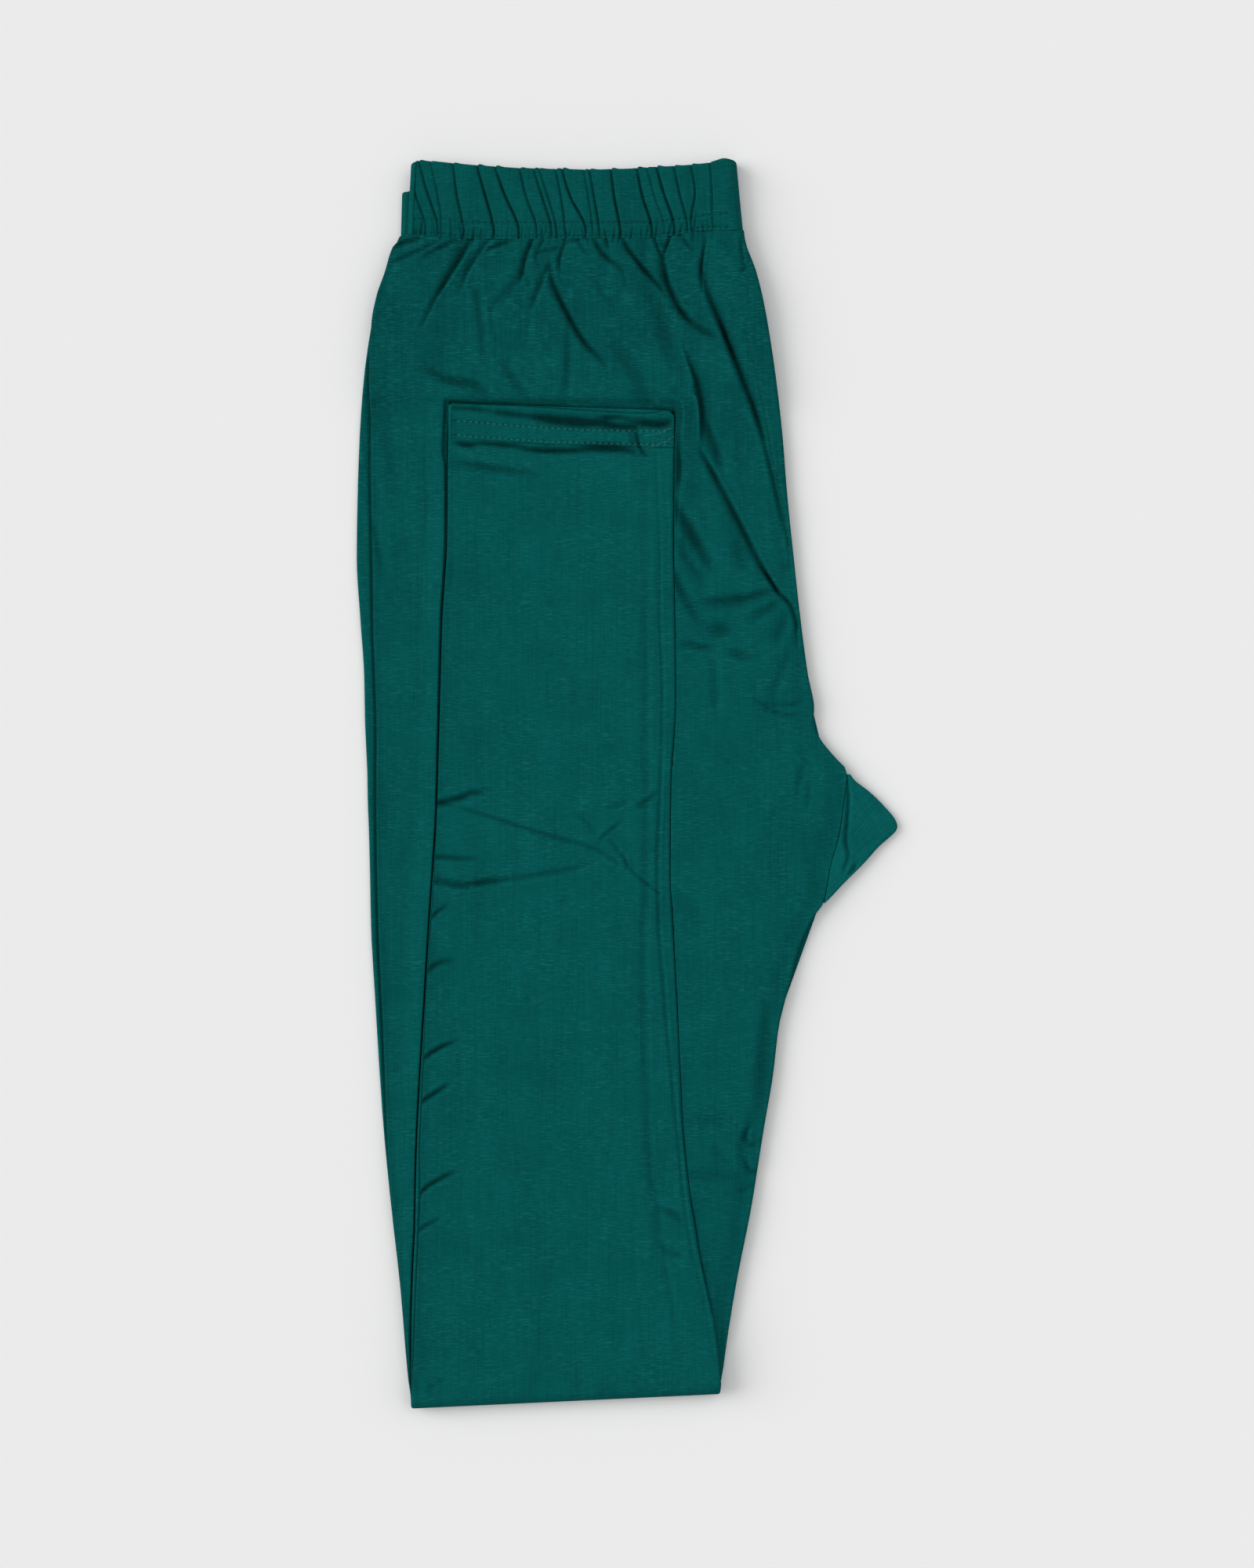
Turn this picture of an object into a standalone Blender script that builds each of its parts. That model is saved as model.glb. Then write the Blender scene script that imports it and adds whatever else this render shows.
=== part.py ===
"""Leggings folded flat: one closed solid for each piece that a maker cuts and sews.

They lie folded in half lengthwise, one leg on the other, and the lower legs are folded up at the
knee over the front. X points to the gusset, Y to the waistband and Z up. The origin is on the
surface, under the middle. Sizes and tables are in millimetres, and MM turns them into metres.
"""

import math
from collections import namedtuple

import bmesh
import bpy
import numpy as np
from mathutils import Vector

MM = 0.001

# Cloth and layers. A leg pressed flat is its two cloths with the air between them.
LAYER_GAP = 0.3
SEAM_GAP = 0.4
LEG_PLY = 2.4
BAND_WALL = 2.3
FAR_HEM_WALL = 1.2
FAR_HEM_DEPTH = 14.0
NEAR_HEM_WALL = 1.05
NEAR_HEM_DEPTH = 15.0
HEM_EDGE_ROUND = 0.5
HEM_COLUMNS = 16
HEM_TURN = np.radians((45.0, 90.0, 135.0))
GUSSET_TOP_SEAM = 5.1
GUSSET_TOP_TIP = 3.0

# The heights of the four pressed layers, from the surface up: thigh, thigh, shin, shin.
FAR_THIGH_TOP = LEG_PLY
NEAR_THIGH_FLOOR = FAR_THIGH_TOP + LAYER_GAP
NEAR_THIGH_TOP = NEAR_THIGH_FLOOR + LEG_PLY
NEAR_SHIN_FLOOR = NEAR_THIGH_TOP + LAYER_GAP
FAR_SHIN_FLOOR = NEAR_SHIN_FLOOR + LEG_PLY + LAYER_GAP

# The knee fold turns both legs round one axis. Its edge runs uphill towards the gusset side.
FOLD_Z = NEAR_THIGH_TOP + LAYER_GAP / 2
FOLD_Y = -262.6
FOLD_SLOPE = 0.047
FOLD_MIDDLE_X = -26.7
FOLD_FADE = 90.0
FOLD_TURNS = 6

# Where the casing's lower stitch row joins the legs, and where the hems begin, on average.
BAND_SEAM_Y = 236.5
BAND_SEAM_FADE = 35.0
HEM_SEAM_Y = 147.0
HEM_SEAM_FADE = 30.0
NEAR_SHIN_INSET = 1.0
PRESS_MARGIN = 1.6
FAR_RIGHT_INSET = 0.8

STRIP_RISE = 14.0
STRIP_FALL = 8.0

# Edges of the two thighs, from the knee fold up to the casing.
Thigh = namedtuple("Thigh", "y near_left far_left right")
THIGH = (
    Thigh(-266.0, -93.8, -94.2, 40.8),
    Thigh(-248.0, -95.0, -96.0, 43.0),
    Thigh(-218.0, -97.9, -98.6, 47.6),
    Thigh(-184.0, -102.0, -102.6, 54.0),
    Thigh(-150.0, -104.4, -105.9, 59.4),
    Thigh(-126.0, -105.2, -107.6, 63.5),
    Thigh(-105.0, -106.0, -108.9, 66.0),
    Thigh(-85.0, -107.0, -110.1, 71.0),
    Thigh(-74.8, -107.5, -110.8, 73.4),
    Thigh(-64.6, -107.9, -111.3, 77.2),
    Thigh(-57.0, -108.1, -111.5, 81.6),
    Thigh(-51.7, -108.2, -111.6, 85.3),
    Thigh(-35.7, -108.6, -111.9, 88.4),
    Thigh(-20.4, -108.8, -112.3, 92.5),
    Thigh(-7.0, -108.9, -112.8, 94.4),
    Thigh(5.0, -108.9, -113.0, 95.7),
    Thigh(11.5, -108.8, -113.3, 90.5),
    Thigh(16.0, -108.8, -113.5, 86.6),
    Thigh(20.4, -108.8, -113.7, 83.4),
    Thigh(27.2, -108.8, -114.0, 80.9),
    Thigh(32.6, -109.0, -114.1, 81.3),
    Thigh(47.6, -109.5, -114.4, 78.6),
    Thigh(71.4, -110.3, -116.0, 75.4),
    Thigh(98.6, -110.6, -117.6, 72.4),
    Thigh(125.8, -111.2, -117.2, 69.6),
    Thigh(153.0, -111.2, -116.2, 67.4),
    Thigh(178.0, -112.0, -114.3, 64.4),
    Thigh(200.6, -110.8, -111.0, 60.9),
    Thigh(210.8, -108.8, -109.0, 58.8),
    Thigh(221.0, -105.1, -105.3, 55.8),
    Thigh(231.2, -101.7, -102.0, 51.6),
    Thigh(234.5, -98.4, -99.4, 50.9),
    Thigh(241.0, -95.2, -98.2, 50.3),
)

# Tops of the two thighs: the gathered casing lifts them, and they settle in a hand's breadth.
# The strip beside the folded-up shins lies loose, so it swells clear of them by strip_swell.
Hip = namedtuple("Hip", "y far_top near_top strip_swell")
HIP = (
    Hip(-300.0, FAR_THIGH_TOP, NEAR_THIGH_TOP, 0.5),
    Hip(-60.0, FAR_THIGH_TOP, NEAR_THIGH_TOP, 0.9),
    Hip(40.0, FAR_THIGH_TOP, NEAR_THIGH_TOP, 1.3),
    Hip(80.0, FAR_THIGH_TOP, NEAR_THIGH_TOP, 2.0),
    Hip(130.0, FAR_THIGH_TOP, NEAR_THIGH_TOP, 2.4),
    Hip(160.0, 2.5, NEAR_THIGH_TOP, 2.2),
    Hip(168.0, 2.6, 5.9, 1.8),
    Hip(178.0, 2.9, 6.9, 1.3),
    Hip(190.0, 3.3, 7.9, 0.8),
    Hip(205.0, 3.8, 8.8, 0.4),
    Hip(220.0, 4.4, 9.2, 0.1),
    Hip(242.0, 4.8, 9.6, 0.0),
)

# Edges of the two shins, from the knee fold up to the hems.
Shin = namedtuple("Shin", "y near_left far_left far_right")
SHIN = (
    Shin(-264.0, -93.7, -93.3, 40.8),
    Shin(-238.0, -93.6, -92.1, 38.1),
    Shin(-221.0, -93.2, -91.5, 34.7),
    Shin(-204.0, -92.5, -90.6, 31.3),
    Shin(-192.0, -91.9, -90.1, 29.5),
    Shin(-180.0, -91.7, -89.5, 27.5),
    Shin(-163.0, -91.4, -89.7, 25.5),
    Shin(-144.0, -90.6, -89.1, 23.8),
    Shin(-129.0, -89.8, -88.4, 23.2),
    Shin(-95.0, -87.7, -87.0, 21.6),
    Shin(-59.5, -85.6, -84.7, 19.7),
    Shin(-39.0, -84.2, -83.3, 18.7),
    Shin(0.0, -81.6, -81.9, 19.0),
    Shin(37.4, -80.1, -80.9, 21.1),
    Shin(71.4, -79.1, -79.9, 20.7),
    Shin(105.4, -77.2, -77.9, 20.2),
    Shin(146.0, -76.8, -77.5, 20.5),
    Shin(166.0, -75.8, -76.5, 21.1),
)

# Seams and free edges that run across, each a short line of places.
Place = namedtuple("Place", "x y")
BAND_SEAM = (
    Place(-98.0, 237.8),
    Place(-87.7, 237.4),
    Place(-63.6, 235.8),
    Place(9.2, 236.2),
    Place(27.0, 238.6),
    Place(34.0, 239.8),
    Place(51.0, 239.8),
)
BAND_TOP = (
    Place(-94.0, 268.2),
    Place(-90.5, 269.6),
    Place(-64.0, 267.6),
    Place(-40.0, 266.3),
    Place(-12.0, 265.9),
    Place(14.0, 267.0),
    Place(35.0, 268.7),
    Place(42.0, 270.9),
    Place(46.0, 270.2),
    Place(48.5, 267.6),
)
FAR_HEM_TOP = (
    Place(-76.5, 164.2),
    Place(-42.5, 163.2),
    Place(-20.4, 161.6),
    Place(8.5, 160.1),
    Place(17.0, 161.4),
    Place(21.1, 159.0),
)
FAR_HEM_SEAM = (
    Place(-76.5, 149.8),
    Place(-40.8, 147.4),
    Place(-13.6, 146.3),
    Place(21.1, 145.6),
)
NEAR_HEM_TOP = (
    Place(-76.0, 165.1),
    Place(-20.4, 163.2),
    Place(20.0, 161.9),
)

# The casing: its edges at the seam and at the top, and how far lower the far half starts.
BAND_NEAR_LEFT = (-95.2, -93.6)
BAND_FAR_LEFT = (-98.3, -97.8)
BAND_RIGHT = (50.4, 47.6)
FAR_HALF_DROP = 11.0
BAND_EDGE_ROUND = 0.8
BAND_ROWS = (0.0, 0.14, 0.25, 0.38, 0.6, 0.82)
BAND_LAYER_COLUMNS = 24

# The gathers of the casing: each line runs from the top edge down to the upper stitch row.
Gather = namedtuple("Gather", "top_x row_x depth")
GATHERS = (
    Gather(-89.4, -81.9, 0.9),
    Gather(-75.1, -71.1, 0.6),
    Gather(-64.3, -57.5, 1.0),
    Gather(-55.8, -46.9, 1.0),
    Gather(-45.2, -39.1, 0.6),
    Gather(-37.7, -30.9, 0.8),
    Gather(-29.2, -25.2, 0.6),
    Gather(-26.4, -18.4, 0.9),
    Gather(-14.6, -12.6, 0.9),
    Gather(-5.1, -2.7, 0.7),
    Gather(5.1, 10.2, 0.9),
    Gather(14.3, 20.4, 0.9),
    Gather(21.8, 26.6, 0.7),
    Gather(27.9, 31.6, 0.8),
    Gather(36.4, 37.4, 0.4),
)
UPPER_ROW = 0.25
PILLOW_STEPS = (0.0, 0.12, 0.34, 0.66, 0.88)

# The crotch gusset, folded in half: its free edge from the upper corner round the tip.
GussetRow = namedtuple("GussetRow", "y right")
GUSSET = (
    GussetRow(-51.6, 86.1),
    GussetRow(-50.4, 87.4),
    GussetRow(-44.2, 93.2),
    GussetRow(-34.0, 103.4),
    GussetRow(-27.2, 109.5),
    GussetRow(-23.0, 114.3),
    GussetRow(-20.4, 116.9),
    GussetRow(-18.5, 117.6),
    GussetRow(-16.2, 117.0),
    GussetRow(-13.6, 115.3),
    GussetRow(-9.0, 111.2),
    GussetRow(-3.4, 105.4),
    GussetRow(2.0, 98.6),
    GussetRow(4.2, 97.0),
)
GUSSET_TIP_X = max(row.right for row in GUSSET)
GUSSET_LIP = 1.2
GUSSET_LIP_SHARE = 0.3
GUSSET_ACROSS = np.array((0.0, 0.25, 0.5, 0.75, 1.0))

# The largest folds: a soft trough along a curve through three places, with a shoulder beside it.
Fold = namedtuple("Fold", "x1 y1 x2 y2 x3 y3 width depth")
THIGH_FOLDS = (
    Fold(-99.6, 233.9, -95.0, 236.0, -87.7, 236.0, 2.4, 1.6),
    Fold(-67.3, 235.6, -76.5, 219.3, -88.4, 198.2, 3.4, 1.2),
    Fold(-57.8, 236.3, -69.7, 222.7, -72.4, 211.0, 3.2, 1.0),
    Fold(-41.8, 234.6, -45.2, 221.0, -40.8, 213.0, 3.2, 1.2),
    Fold(-33.6, 226.0, -30.0, 207.0, -9.5, 181.9, 3.4, 1.4),
    Fold(-1.0, 234.0, 4.4, 226.8, 15.3, 214.2, 3.2, 1.6),
    Fold(14.6, 234.0, 18.4, 214.6, 38.8, 192.4, 3.6, 2.0),
    Fold(34.7, 238.0, 33.4, 214.0, 45.9, 183.6, 3.8, 2.2),
    Fold(45.9, 183.6, 60.2, 146.2, 70.4, 106.0, 4.0, 2.0),
    Fold(20.4, 214.0, 28.9, 180.0, 31.6, 152.0, 4.0, 1.0),
    Fold(27.2, 188.7, 39.0, 158.0, 42.8, 139.0, 4.4, 1.0),
    Fold(33.0, 147.0, 52.7, 108.0, 75.0, 69.0, 4.2, 2.0),
    Fold(22.6, 120.0, 29.0, 106.0, 47.6, 88.4, 4.2, 1.0),
    Fold(23.2, 88.4, 31.0, 73.4, 47.6, 62.9, 4.2, 1.0),
    Fold(-89.4, 179.6, -78.2, 174.4, -62.0, 168.0, 3.2, 0.6),
    Fold(54.4, 35.7, 66.0, 35.0, 78.0, 34.0, 4.0, 0.6),
    Fold(61.4, -95.0, 59.5, -119.0, 58.0, -145.0, 4.0, 0.7),
    Fold(27.0, -170.0, 40.0, -169.0, 54.0, -171.0, 4.0, 0.5),
)
SHIN_FOLDS = (
    Fold(-82.0, -7.8, -74.0, -6.0, -66.3, -4.1, 3.6, 0.8),
    Fold(-66.3, -9.2, -38.0, -21.0, -3.4, -34.0, 4.2, 0.8),
    Fold(13.6, -5.8, 0.0, -13.6, -11.9, -25.5, 4.0, 0.7),
    Fold(-6.8, -24.5, 3.4, -35.7, 17.0, -47.6, 4.0, 0.7),
    Fold(-82.0, -40.8, -52.0, -42.4, -17.0, -35.0, 4.2, 0.7),
    Fold(-85.0, -80.0, -80.0, -77.2, -69.7, -79.6, 3.6, 0.7),
    Fold(-86.0, -117.3, -82.0, -114.0, -75.8, -112.2, 3.6, 1.0),
    Fold(-89.0, -178.0, -82.6, -171.7, -74.1, -167.3, 3.8, 0.9),
    Fold(-90.0, -268.0, -84.0, -263.0, -78.0, -259.0, 3.8, 0.8),
    Fold(8.5, 140.0, 8.0, 20.0, 7.6, -120.0, 3.6, 0.4),
)
FOLD_STEPS = 8
SHOULDER = 0.45
SHOULDER_PLACE = 2.1

# How closely the sections and their columns follow each other, denser where folds show.
FAR_ACROSS = np.linspace(0, 1, 26)
NEAR_ACROSS = np.concatenate((np.linspace(0, 0.55, 18, endpoint=False), np.linspace(0.55, 1, 26)))
HIP_END_Y = 166.5
HIP_ROWS = 22
STRIP_END_Y = 64.0
STRIP_ROWS = 18
SHIN_START_Y = -250.6
FAR_SHIN_ROWS = 34

TEAL = (0.0016, 0.080, 0.076, 1.0)
TEAL_BAND = (0.0014, 0.066, 0.062, 1.0)
TEAL_GUSSET = (0.0022, 0.092, 0.088, 1.0)
CLOTH_ROUGHNESS = 0.85


def smooth(places, values, where):
    """The curve through the rows, at each place in where. It never swings past a row."""
    places = np.asarray(places, float)
    values = np.asarray(values, float)
    rises = np.diff(values) / np.diff(places)
    before, after = rises[:-1], rises[1:]
    same_way = before * after > 0
    total = np.where(same_way, before + after, 1.0)
    middle = np.where(same_way, 2 * before * after / total, 0.0)
    slopes = np.concatenate(([rises[0]], middle, [rises[-1]]))
    where = np.clip(where, places[0], places[-1])
    row = np.clip(np.searchsorted(places, where) - 1, 0, len(places) - 2)
    step = places[row + 1] - places[row]
    t = (where - places[row]) / step
    from_row = (1 + 2 * t) * (1 - t) ** 2 * values[row] + t * (1 - t) ** 2 * step * slopes[row]
    to_row = t**2 * (3 - 2 * t) * values[row + 1] - t**2 * (1 - t) * step * slopes[row + 1]
    return from_row + to_row


def column(table, name, where, along="y"):
    """A named column of a table, read smoothly at where."""
    places = [getattr(row, along) for row in table]
    values = [getattr(row, name) for row in table]
    return smooth(places, values, where)


def fade(amount):
    """1 at amount 0 and below, easing down to 0 at amount 1 and above."""
    amount = np.clip(amount, 0.0, 1.0)
    return 1 - amount * amount * (3 - 2 * amount)


def curve_through(fold):
    """Points along the quadratic curve through a fold's three places."""
    start = np.array((fold.x1, fold.y1))
    middle = np.array((fold.x2, fold.y2))
    end = np.array((fold.x3, fold.y3))
    control = 2 * middle - (start + end) / 2
    t = np.linspace(0, 1, FOLD_STEPS + 1)[:, None]
    return (1 - t) ** 2 * start + 2 * t * (1 - t) * control + t**2 * end


def nearest(path, x, y):
    """The distance from each place to the path, and how far along the path that is, 0 to 1."""
    best = np.full(x.shape, 1e9)
    along = np.zeros(x.shape)
    count = len(path) - 1
    for i in range(count):
        step = path[i + 1] - path[i]
        t = ((x - path[i][0]) * step[0] + (y - path[i][1]) * step[1]) / (step @ step)
        t = np.clip(t, 0, 1)
        gap = np.hypot(x - path[i][0] - t * step[0], y - path[i][1] - t * step[1])
        closer = gap < best
        best = np.where(closer, gap, best)
        along = np.where(closer, (i + t) / count, along)
    return best, along


def fold_height(x, y, folds):
    """How far the cloth dips or rises at each place, summed over the folds."""
    height = np.zeros(x.shape)
    for fold in folds:
        gap, along = nearest(curve_through(fold), x, y)
        trough = np.exp(-((gap / fold.width) ** 2))
        shoulder = np.exp(-((gap / fold.width - SHOULDER_PLACE) ** 2))
        taper = np.sqrt(np.sin(np.pi * np.clip(along, 0.04, 0.96)))
        height += fold.depth * taper * (SHOULDER * shoulder - trough)
    return height


def section(left, right, radius, across):
    """Round a pressed leg's section: x, and a height of 0 on its outer side and 1 on its inner.

    The outer side is the one that lies outermost at the knee fold. The first point is the
    middle of the left edge.
    """
    flat = left + radius + (right - left - 2 * radius) * across
    turn = np.radians((40.0, 90.0, 140.0))
    bulge = radius * np.sin(turn)
    rise = 0.5 - 0.5 * np.cos(turn)
    low, middle, high = left + radius - bulge
    x = np.concatenate(([middle, low], flat, right - radius + bulge, flat[::-1], [high]))
    height = np.concatenate(([rise[1], rise[0]], np.zeros(len(flat)), rise,
                             np.ones(len(flat)), [rise[2]]))
    return x, height


def thigh_edges(leg, y):
    if leg == "far":
        return column(THIGH, "far_left", y), column(THIGH, "right", y) - FAR_RIGHT_INSET
    return column(THIGH, "near_left", y), column(THIGH, "right", y)


def shin_edges(leg, y):
    if leg == "far":
        return column(SHIN, "far_left", y), column(SHIN, "far_right", y)
    return column(SHIN, "near_left", y), column(SHIN, "far_right", y) - NEAR_SHIN_INSET


def thigh_heights(leg, y):
    """The floor and the top of a thigh at y."""
    far_top = column(HIP, "far_top", y)
    if leg == "far":
        return 0.0, far_top
    return far_top + LAYER_GAP, column(HIP, "near_top", y)


def shin_heights(leg):
    floor = FAR_SHIN_FLOOR if leg == "far" else NEAR_SHIN_FLOOR
    return floor, floor + LEG_PLY


def tilted(x, y):
    """Y moved along the slope of the knee fold, which fades out up the leg."""
    return y + FOLD_SLOPE * (x - FOLD_MIDDLE_X) * fade((y - FOLD_Y) / FOLD_FADE)


def joined_to(line, level, reach, x, y):
    """Y moved so that a leg's end at the level follows the seam line."""
    moved = column(line, "y", x, along="x") - level
    return y + moved * fade((level - y) / reach)


def strip_swell(x, y):
    """How far the loose strip swells: it rises from the shins' right edge and falls at its own."""
    shin_right = shin_edges("far", y)[1] + LAYER_GAP
    right = thigh_edges("near", y)[1]
    rise = 1 - fade((x - shin_right) / STRIP_RISE)
    fall = fade((x - right + STRIP_FALL) / STRIP_FALL)
    return column(HIP, "strip_swell", y) * rise * fall


def thigh_surface(x, y, top):
    """The near thigh's upper side, with its folds, and flat where the shins press on it."""
    height = top + strip_swell(x, y) + fold_height(x, y, THIGH_FOLDS)
    left, right = shin_edges("far", y)
    hem_end = NEAR_HEM_TOP[0].y + PRESS_MARGIN
    pressed = (x > left - PRESS_MARGIN) & (x < right + PRESS_MARGIN) & (y < hem_end)
    return np.where(pressed, np.minimum(height, NEAR_THIGH_TOP), height)


def thigh_ring(leg, y, across):
    left, right = thigh_edges(leg, y)
    floor, top = thigh_heights(leg, y)
    x, height = section(left, right, LEG_PLY / 2, across)
    place_y = tilted(x, joined_to(BAND_SEAM, BAND_SEAM_Y, BAND_SEAM_FADE, x, np.full(x.shape, y)))
    z = floor + (top - floor) * height
    if leg == "near":
        surface = thigh_surface(x, place_y, top)
        z = np.where(height > 0.99, surface, z)
    return np.stack((x, place_y, z), axis=1)


def fold_ring(leg, angle, across):
    """A section of the leg where it turns round the knee fold: angle 0 is still the thigh."""
    inner_radius = LAYER_GAP / 2 if leg == "near" else LAYER_GAP * 1.5 + LEG_PLY
    thigh_left, thigh_right = thigh_edges(leg, THIGH[0].y)
    shin_left, shin_right = shin_edges(leg, SHIN[0].y)
    share = angle / math.pi
    left = thigh_left + (shin_left - thigh_left) * share
    right = thigh_right + (shin_right - thigh_right) * share
    x, height = section(left, right, LEG_PLY / 2, across)
    radius = inner_radius + LEG_PLY * (1 - height)
    y = FOLD_Y - radius * math.sin(angle)
    z = FOLD_Z - radius * math.cos(angle)
    return np.stack((x, tilted(x, y), z), axis=1)


def shin_ring(leg, y, across):
    left, right = shin_edges(leg, y)
    floor, top = shin_heights(leg)
    x, height = section(left, right, LEG_PLY / 2, across)
    place_y = tilted(x, joined_to(FAR_HEM_SEAM, HEM_SEAM_Y, HEM_SEAM_FADE, x, np.full(x.shape, y)))
    z = top - (top - floor) * height
    if leg == "far":
        z = np.where(height < 0.01, z + fold_height(x, place_y, SHIN_FOLDS), z)
    return np.stack((x, place_y, z), axis=1)


def leg_rings(leg, thigh_rows, shin_rows, across):
    """Sections from the casing down the thigh, round the knee fold and up the shin to the hem."""
    rings = [thigh_ring(leg, y, across) for y in thigh_rows]
    turns = [math.pi * i / FOLD_TURNS for i in range(FOLD_TURNS + 1)]
    rings += [fold_ring(leg, angle, across) for angle in turns]
    rings += [shin_ring(leg, y, across) for y in shin_rows]
    return rings


def band_path(v, near_columns):
    """Round the casing's middle line at v, 0 at the seam to 1 at the top.

    It runs over the top wall to the right, round the outside to the bottom wall, back to the
    left, and home through the two inner walls. Gives x, z, the outward direction, how far each
    point belongs to the lower, far half, and which gather pillow it lies in.
    """
    pitch = BAND_WALL + LAYER_GAP
    levels = [BAND_WALL / 2 + pitch * i for i in range(4)]
    middle_z = (levels[0] + levels[3]) / 2
    near_left = np.interp(v, (0, 1), BAND_NEAR_LEFT) + pitch / 2 + BAND_WALL / 2
    far_left = np.interp(v, (0, 1), BAND_FAR_LEFT) + pitch / 2 + BAND_WALL / 2
    right = np.interp(v, (0, 1), BAND_RIGHT) - pitch * 1.5 - BAND_WALL / 2
    points = []

    def wall(start, end, fractions, z, up, far):
        for f in fractions:
            x = start + (end - start) * f
            points.append((x, z, 0.0, up, far * (right - x) / (right - far_left)))

    def bend(x, z, radius, first, last, count, outward, far):
        for i in range(1, count):
            angle = math.radians(first + (last - first) * i / count)
            sine, cosine = math.sin(angle), math.cos(angle)
            place = x + radius * cosine, z + radius * sine
            points.append((*place, outward * cosine, outward * sine, far))

    across = np.linspace(0, 1, BAND_LAYER_COLUMNS)
    wall(near_left, right, near_columns, levels[3], 1.0, 0.0)
    bend(right, middle_z, pitch * 1.5, 90, -90, 8, 1.0, 0.0)
    wall(right, far_left, across, levels[0], -1.0, 1.0)
    bend(far_left, levels[0] + pitch / 2, pitch / 2, 270, 90, 4, 1.0, 1.0)
    wall(far_left, right, across, levels[1], 1.0, 1.0)
    bend(right, middle_z, pitch / 2, -90, 90, 4, -1.0, 0.0)
    wall(right, near_left, across, levels[2], -1.0, 0.0)
    bend(near_left, levels[2] + pitch / 2, pitch / 2, 270, 90, 4, 1.0, 0.0)
    return np.array(points)


def gather_columns(v):
    """Fractions across the top wall at v, and the pillow height of each, between the gathers."""
    pitch = BAND_WALL + LAYER_GAP
    left = np.interp(v, (0, 1), BAND_NEAR_LEFT) + pitch / 2 + BAND_WALL / 2
    right = np.interp(v, (0, 1), BAND_RIGHT) - pitch * 1.5 - BAND_WALL / 2
    down = min(1.0, (1 - v) / (1 - UPPER_ROW))
    lines = [left] + [g.top_x + (g.row_x - g.top_x) * down for g in GATHERS] + [right]
    depths = [0.3] + [gather.depth for gather in GATHERS] + [0.3]
    fractions, pillows = [], []
    for i in range(len(lines) - 1):
        depth = (depths[i] + depths[i + 1]) / 2 * min(1.0, (lines[i + 1] - lines[i]) / 6.0)
        for f in PILLOW_STEPS:
            fractions.append((lines[i] + (lines[i + 1] - lines[i]) * f - left) / (right - left))
            pillows.append(depth * math.sqrt(math.sin(math.pi * f)))
    return np.array(fractions + [1.0]), np.array(pillows + [0.0])


def band_loop(v, offset, drop=0.0):
    """One loop of the casing, offset outwards from the wall's middle, drop below its own row."""
    near_columns, pillows = gather_columns(v)
    path = band_path(v, near_columns)
    x, z, out_x, out_z, far = path.T
    top = column(BAND_TOP, "y", x, along="x") - FAR_HALF_DROP * far
    seam = column(BAND_SEAM, "y", x, along="x") + SEAM_GAP
    lift = np.zeros(len(x))
    strength = np.interp(v, (0, UPPER_ROW, 0.4, 1), (0.25, 0.5, 1.0, 0.9))
    lift[: len(pillows)] = pillows * strength
    y = seam + (top - seam) * v - drop + 0.4 * lift * (v > 0.9)
    z = z + out_z * offset + (lift if offset > 0 else 0.0)
    return np.stack((x + out_x * offset, y, z), axis=1)


def hem_loop(leg, line, above, offset, floor, wall):
    """One loop of a flattened hem ring: two walls with a slit between them."""
    half_pitch = (wall + LAYER_GAP) / 2
    left, right = shin_edges(leg, FAR_HEM_SEAM[0].y)
    across = np.linspace(left + wall / 2 + half_pitch, right - wall / 2 - half_pitch, HEM_COLUMNS)
    middle = floor + wall / 2 + half_pitch
    level = np.ones(HEM_COLUMNS)
    out_x = np.concatenate((0 * level, np.sin(HEM_TURN), 0 * level, -np.sin(HEM_TURN)))
    out_z = np.concatenate((level, np.cos(HEM_TURN), -level, -np.cos(HEM_TURN)))
    x = np.concatenate((across, across[-1] * np.ones(len(HEM_TURN)), across[::-1],
                        across[0] * np.ones(len(HEM_TURN)))) + out_x * half_pitch
    z = middle + out_z * half_pitch
    y = column(line, "y", x, along="x") + above
    return np.stack((x + out_x * offset, y, z + out_z * offset), axis=1)


def cloth(name, colour):
    material = bpy.data.materials.new(name)
    material.use_nodes = True
    shader = material.node_tree.nodes["Principled BSDF"]
    shader.inputs["Base Color"].default_value = colour
    shader.inputs["Roughness"].default_value = CLOTH_ROUGHNESS
    shader.inputs["Metallic"].default_value = 0.0
    return material


def loft(name, rings, material, collection, closed_round=False):
    """Joins rings of as many points each into one solid, capped, or closed round on itself.

    A cap is a ladder of faces between its ring's two sides, so it follows a curved seam.
    """
    shape = bmesh.new()
    rows = [[shape.verts.new(Vector(point) * MM) for point in ring] for ring in rings]
    pairs = list(zip(rows, rows[1:]))
    if closed_round:
        pairs.append((rows[-1], rows[0]))
    else:
        for row in (rows[0], rows[-1]):
            half = len(row) // 2
            shape.faces.new((row[0], row[1], row[-1]))
            shape.faces.new((row[half - 1], row[half], row[half + 1]))
            for i in range(1, half - 1):
                shape.faces.new((row[i], row[i + 1], row[-i - 1], row[-i]))
    for lower, upper in pairs:
        for i in range(len(lower)):
            shape.faces.new((lower[i - 1], lower[i], upper[i], upper[i - 1]))
    bmesh.ops.recalc_face_normals(shape, faces=shape.faces)
    mesh = bpy.data.meshes.new(name)
    shape.to_mesh(mesh)
    shape.free()
    mesh.materials.append(material)
    mesh.shade_smooth()
    mesh.set_sharp_from_angle(angle=math.radians(50))
    piece = bpy.data.objects.new(name, mesh)
    collection.objects.link(piece)
    return piece


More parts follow.
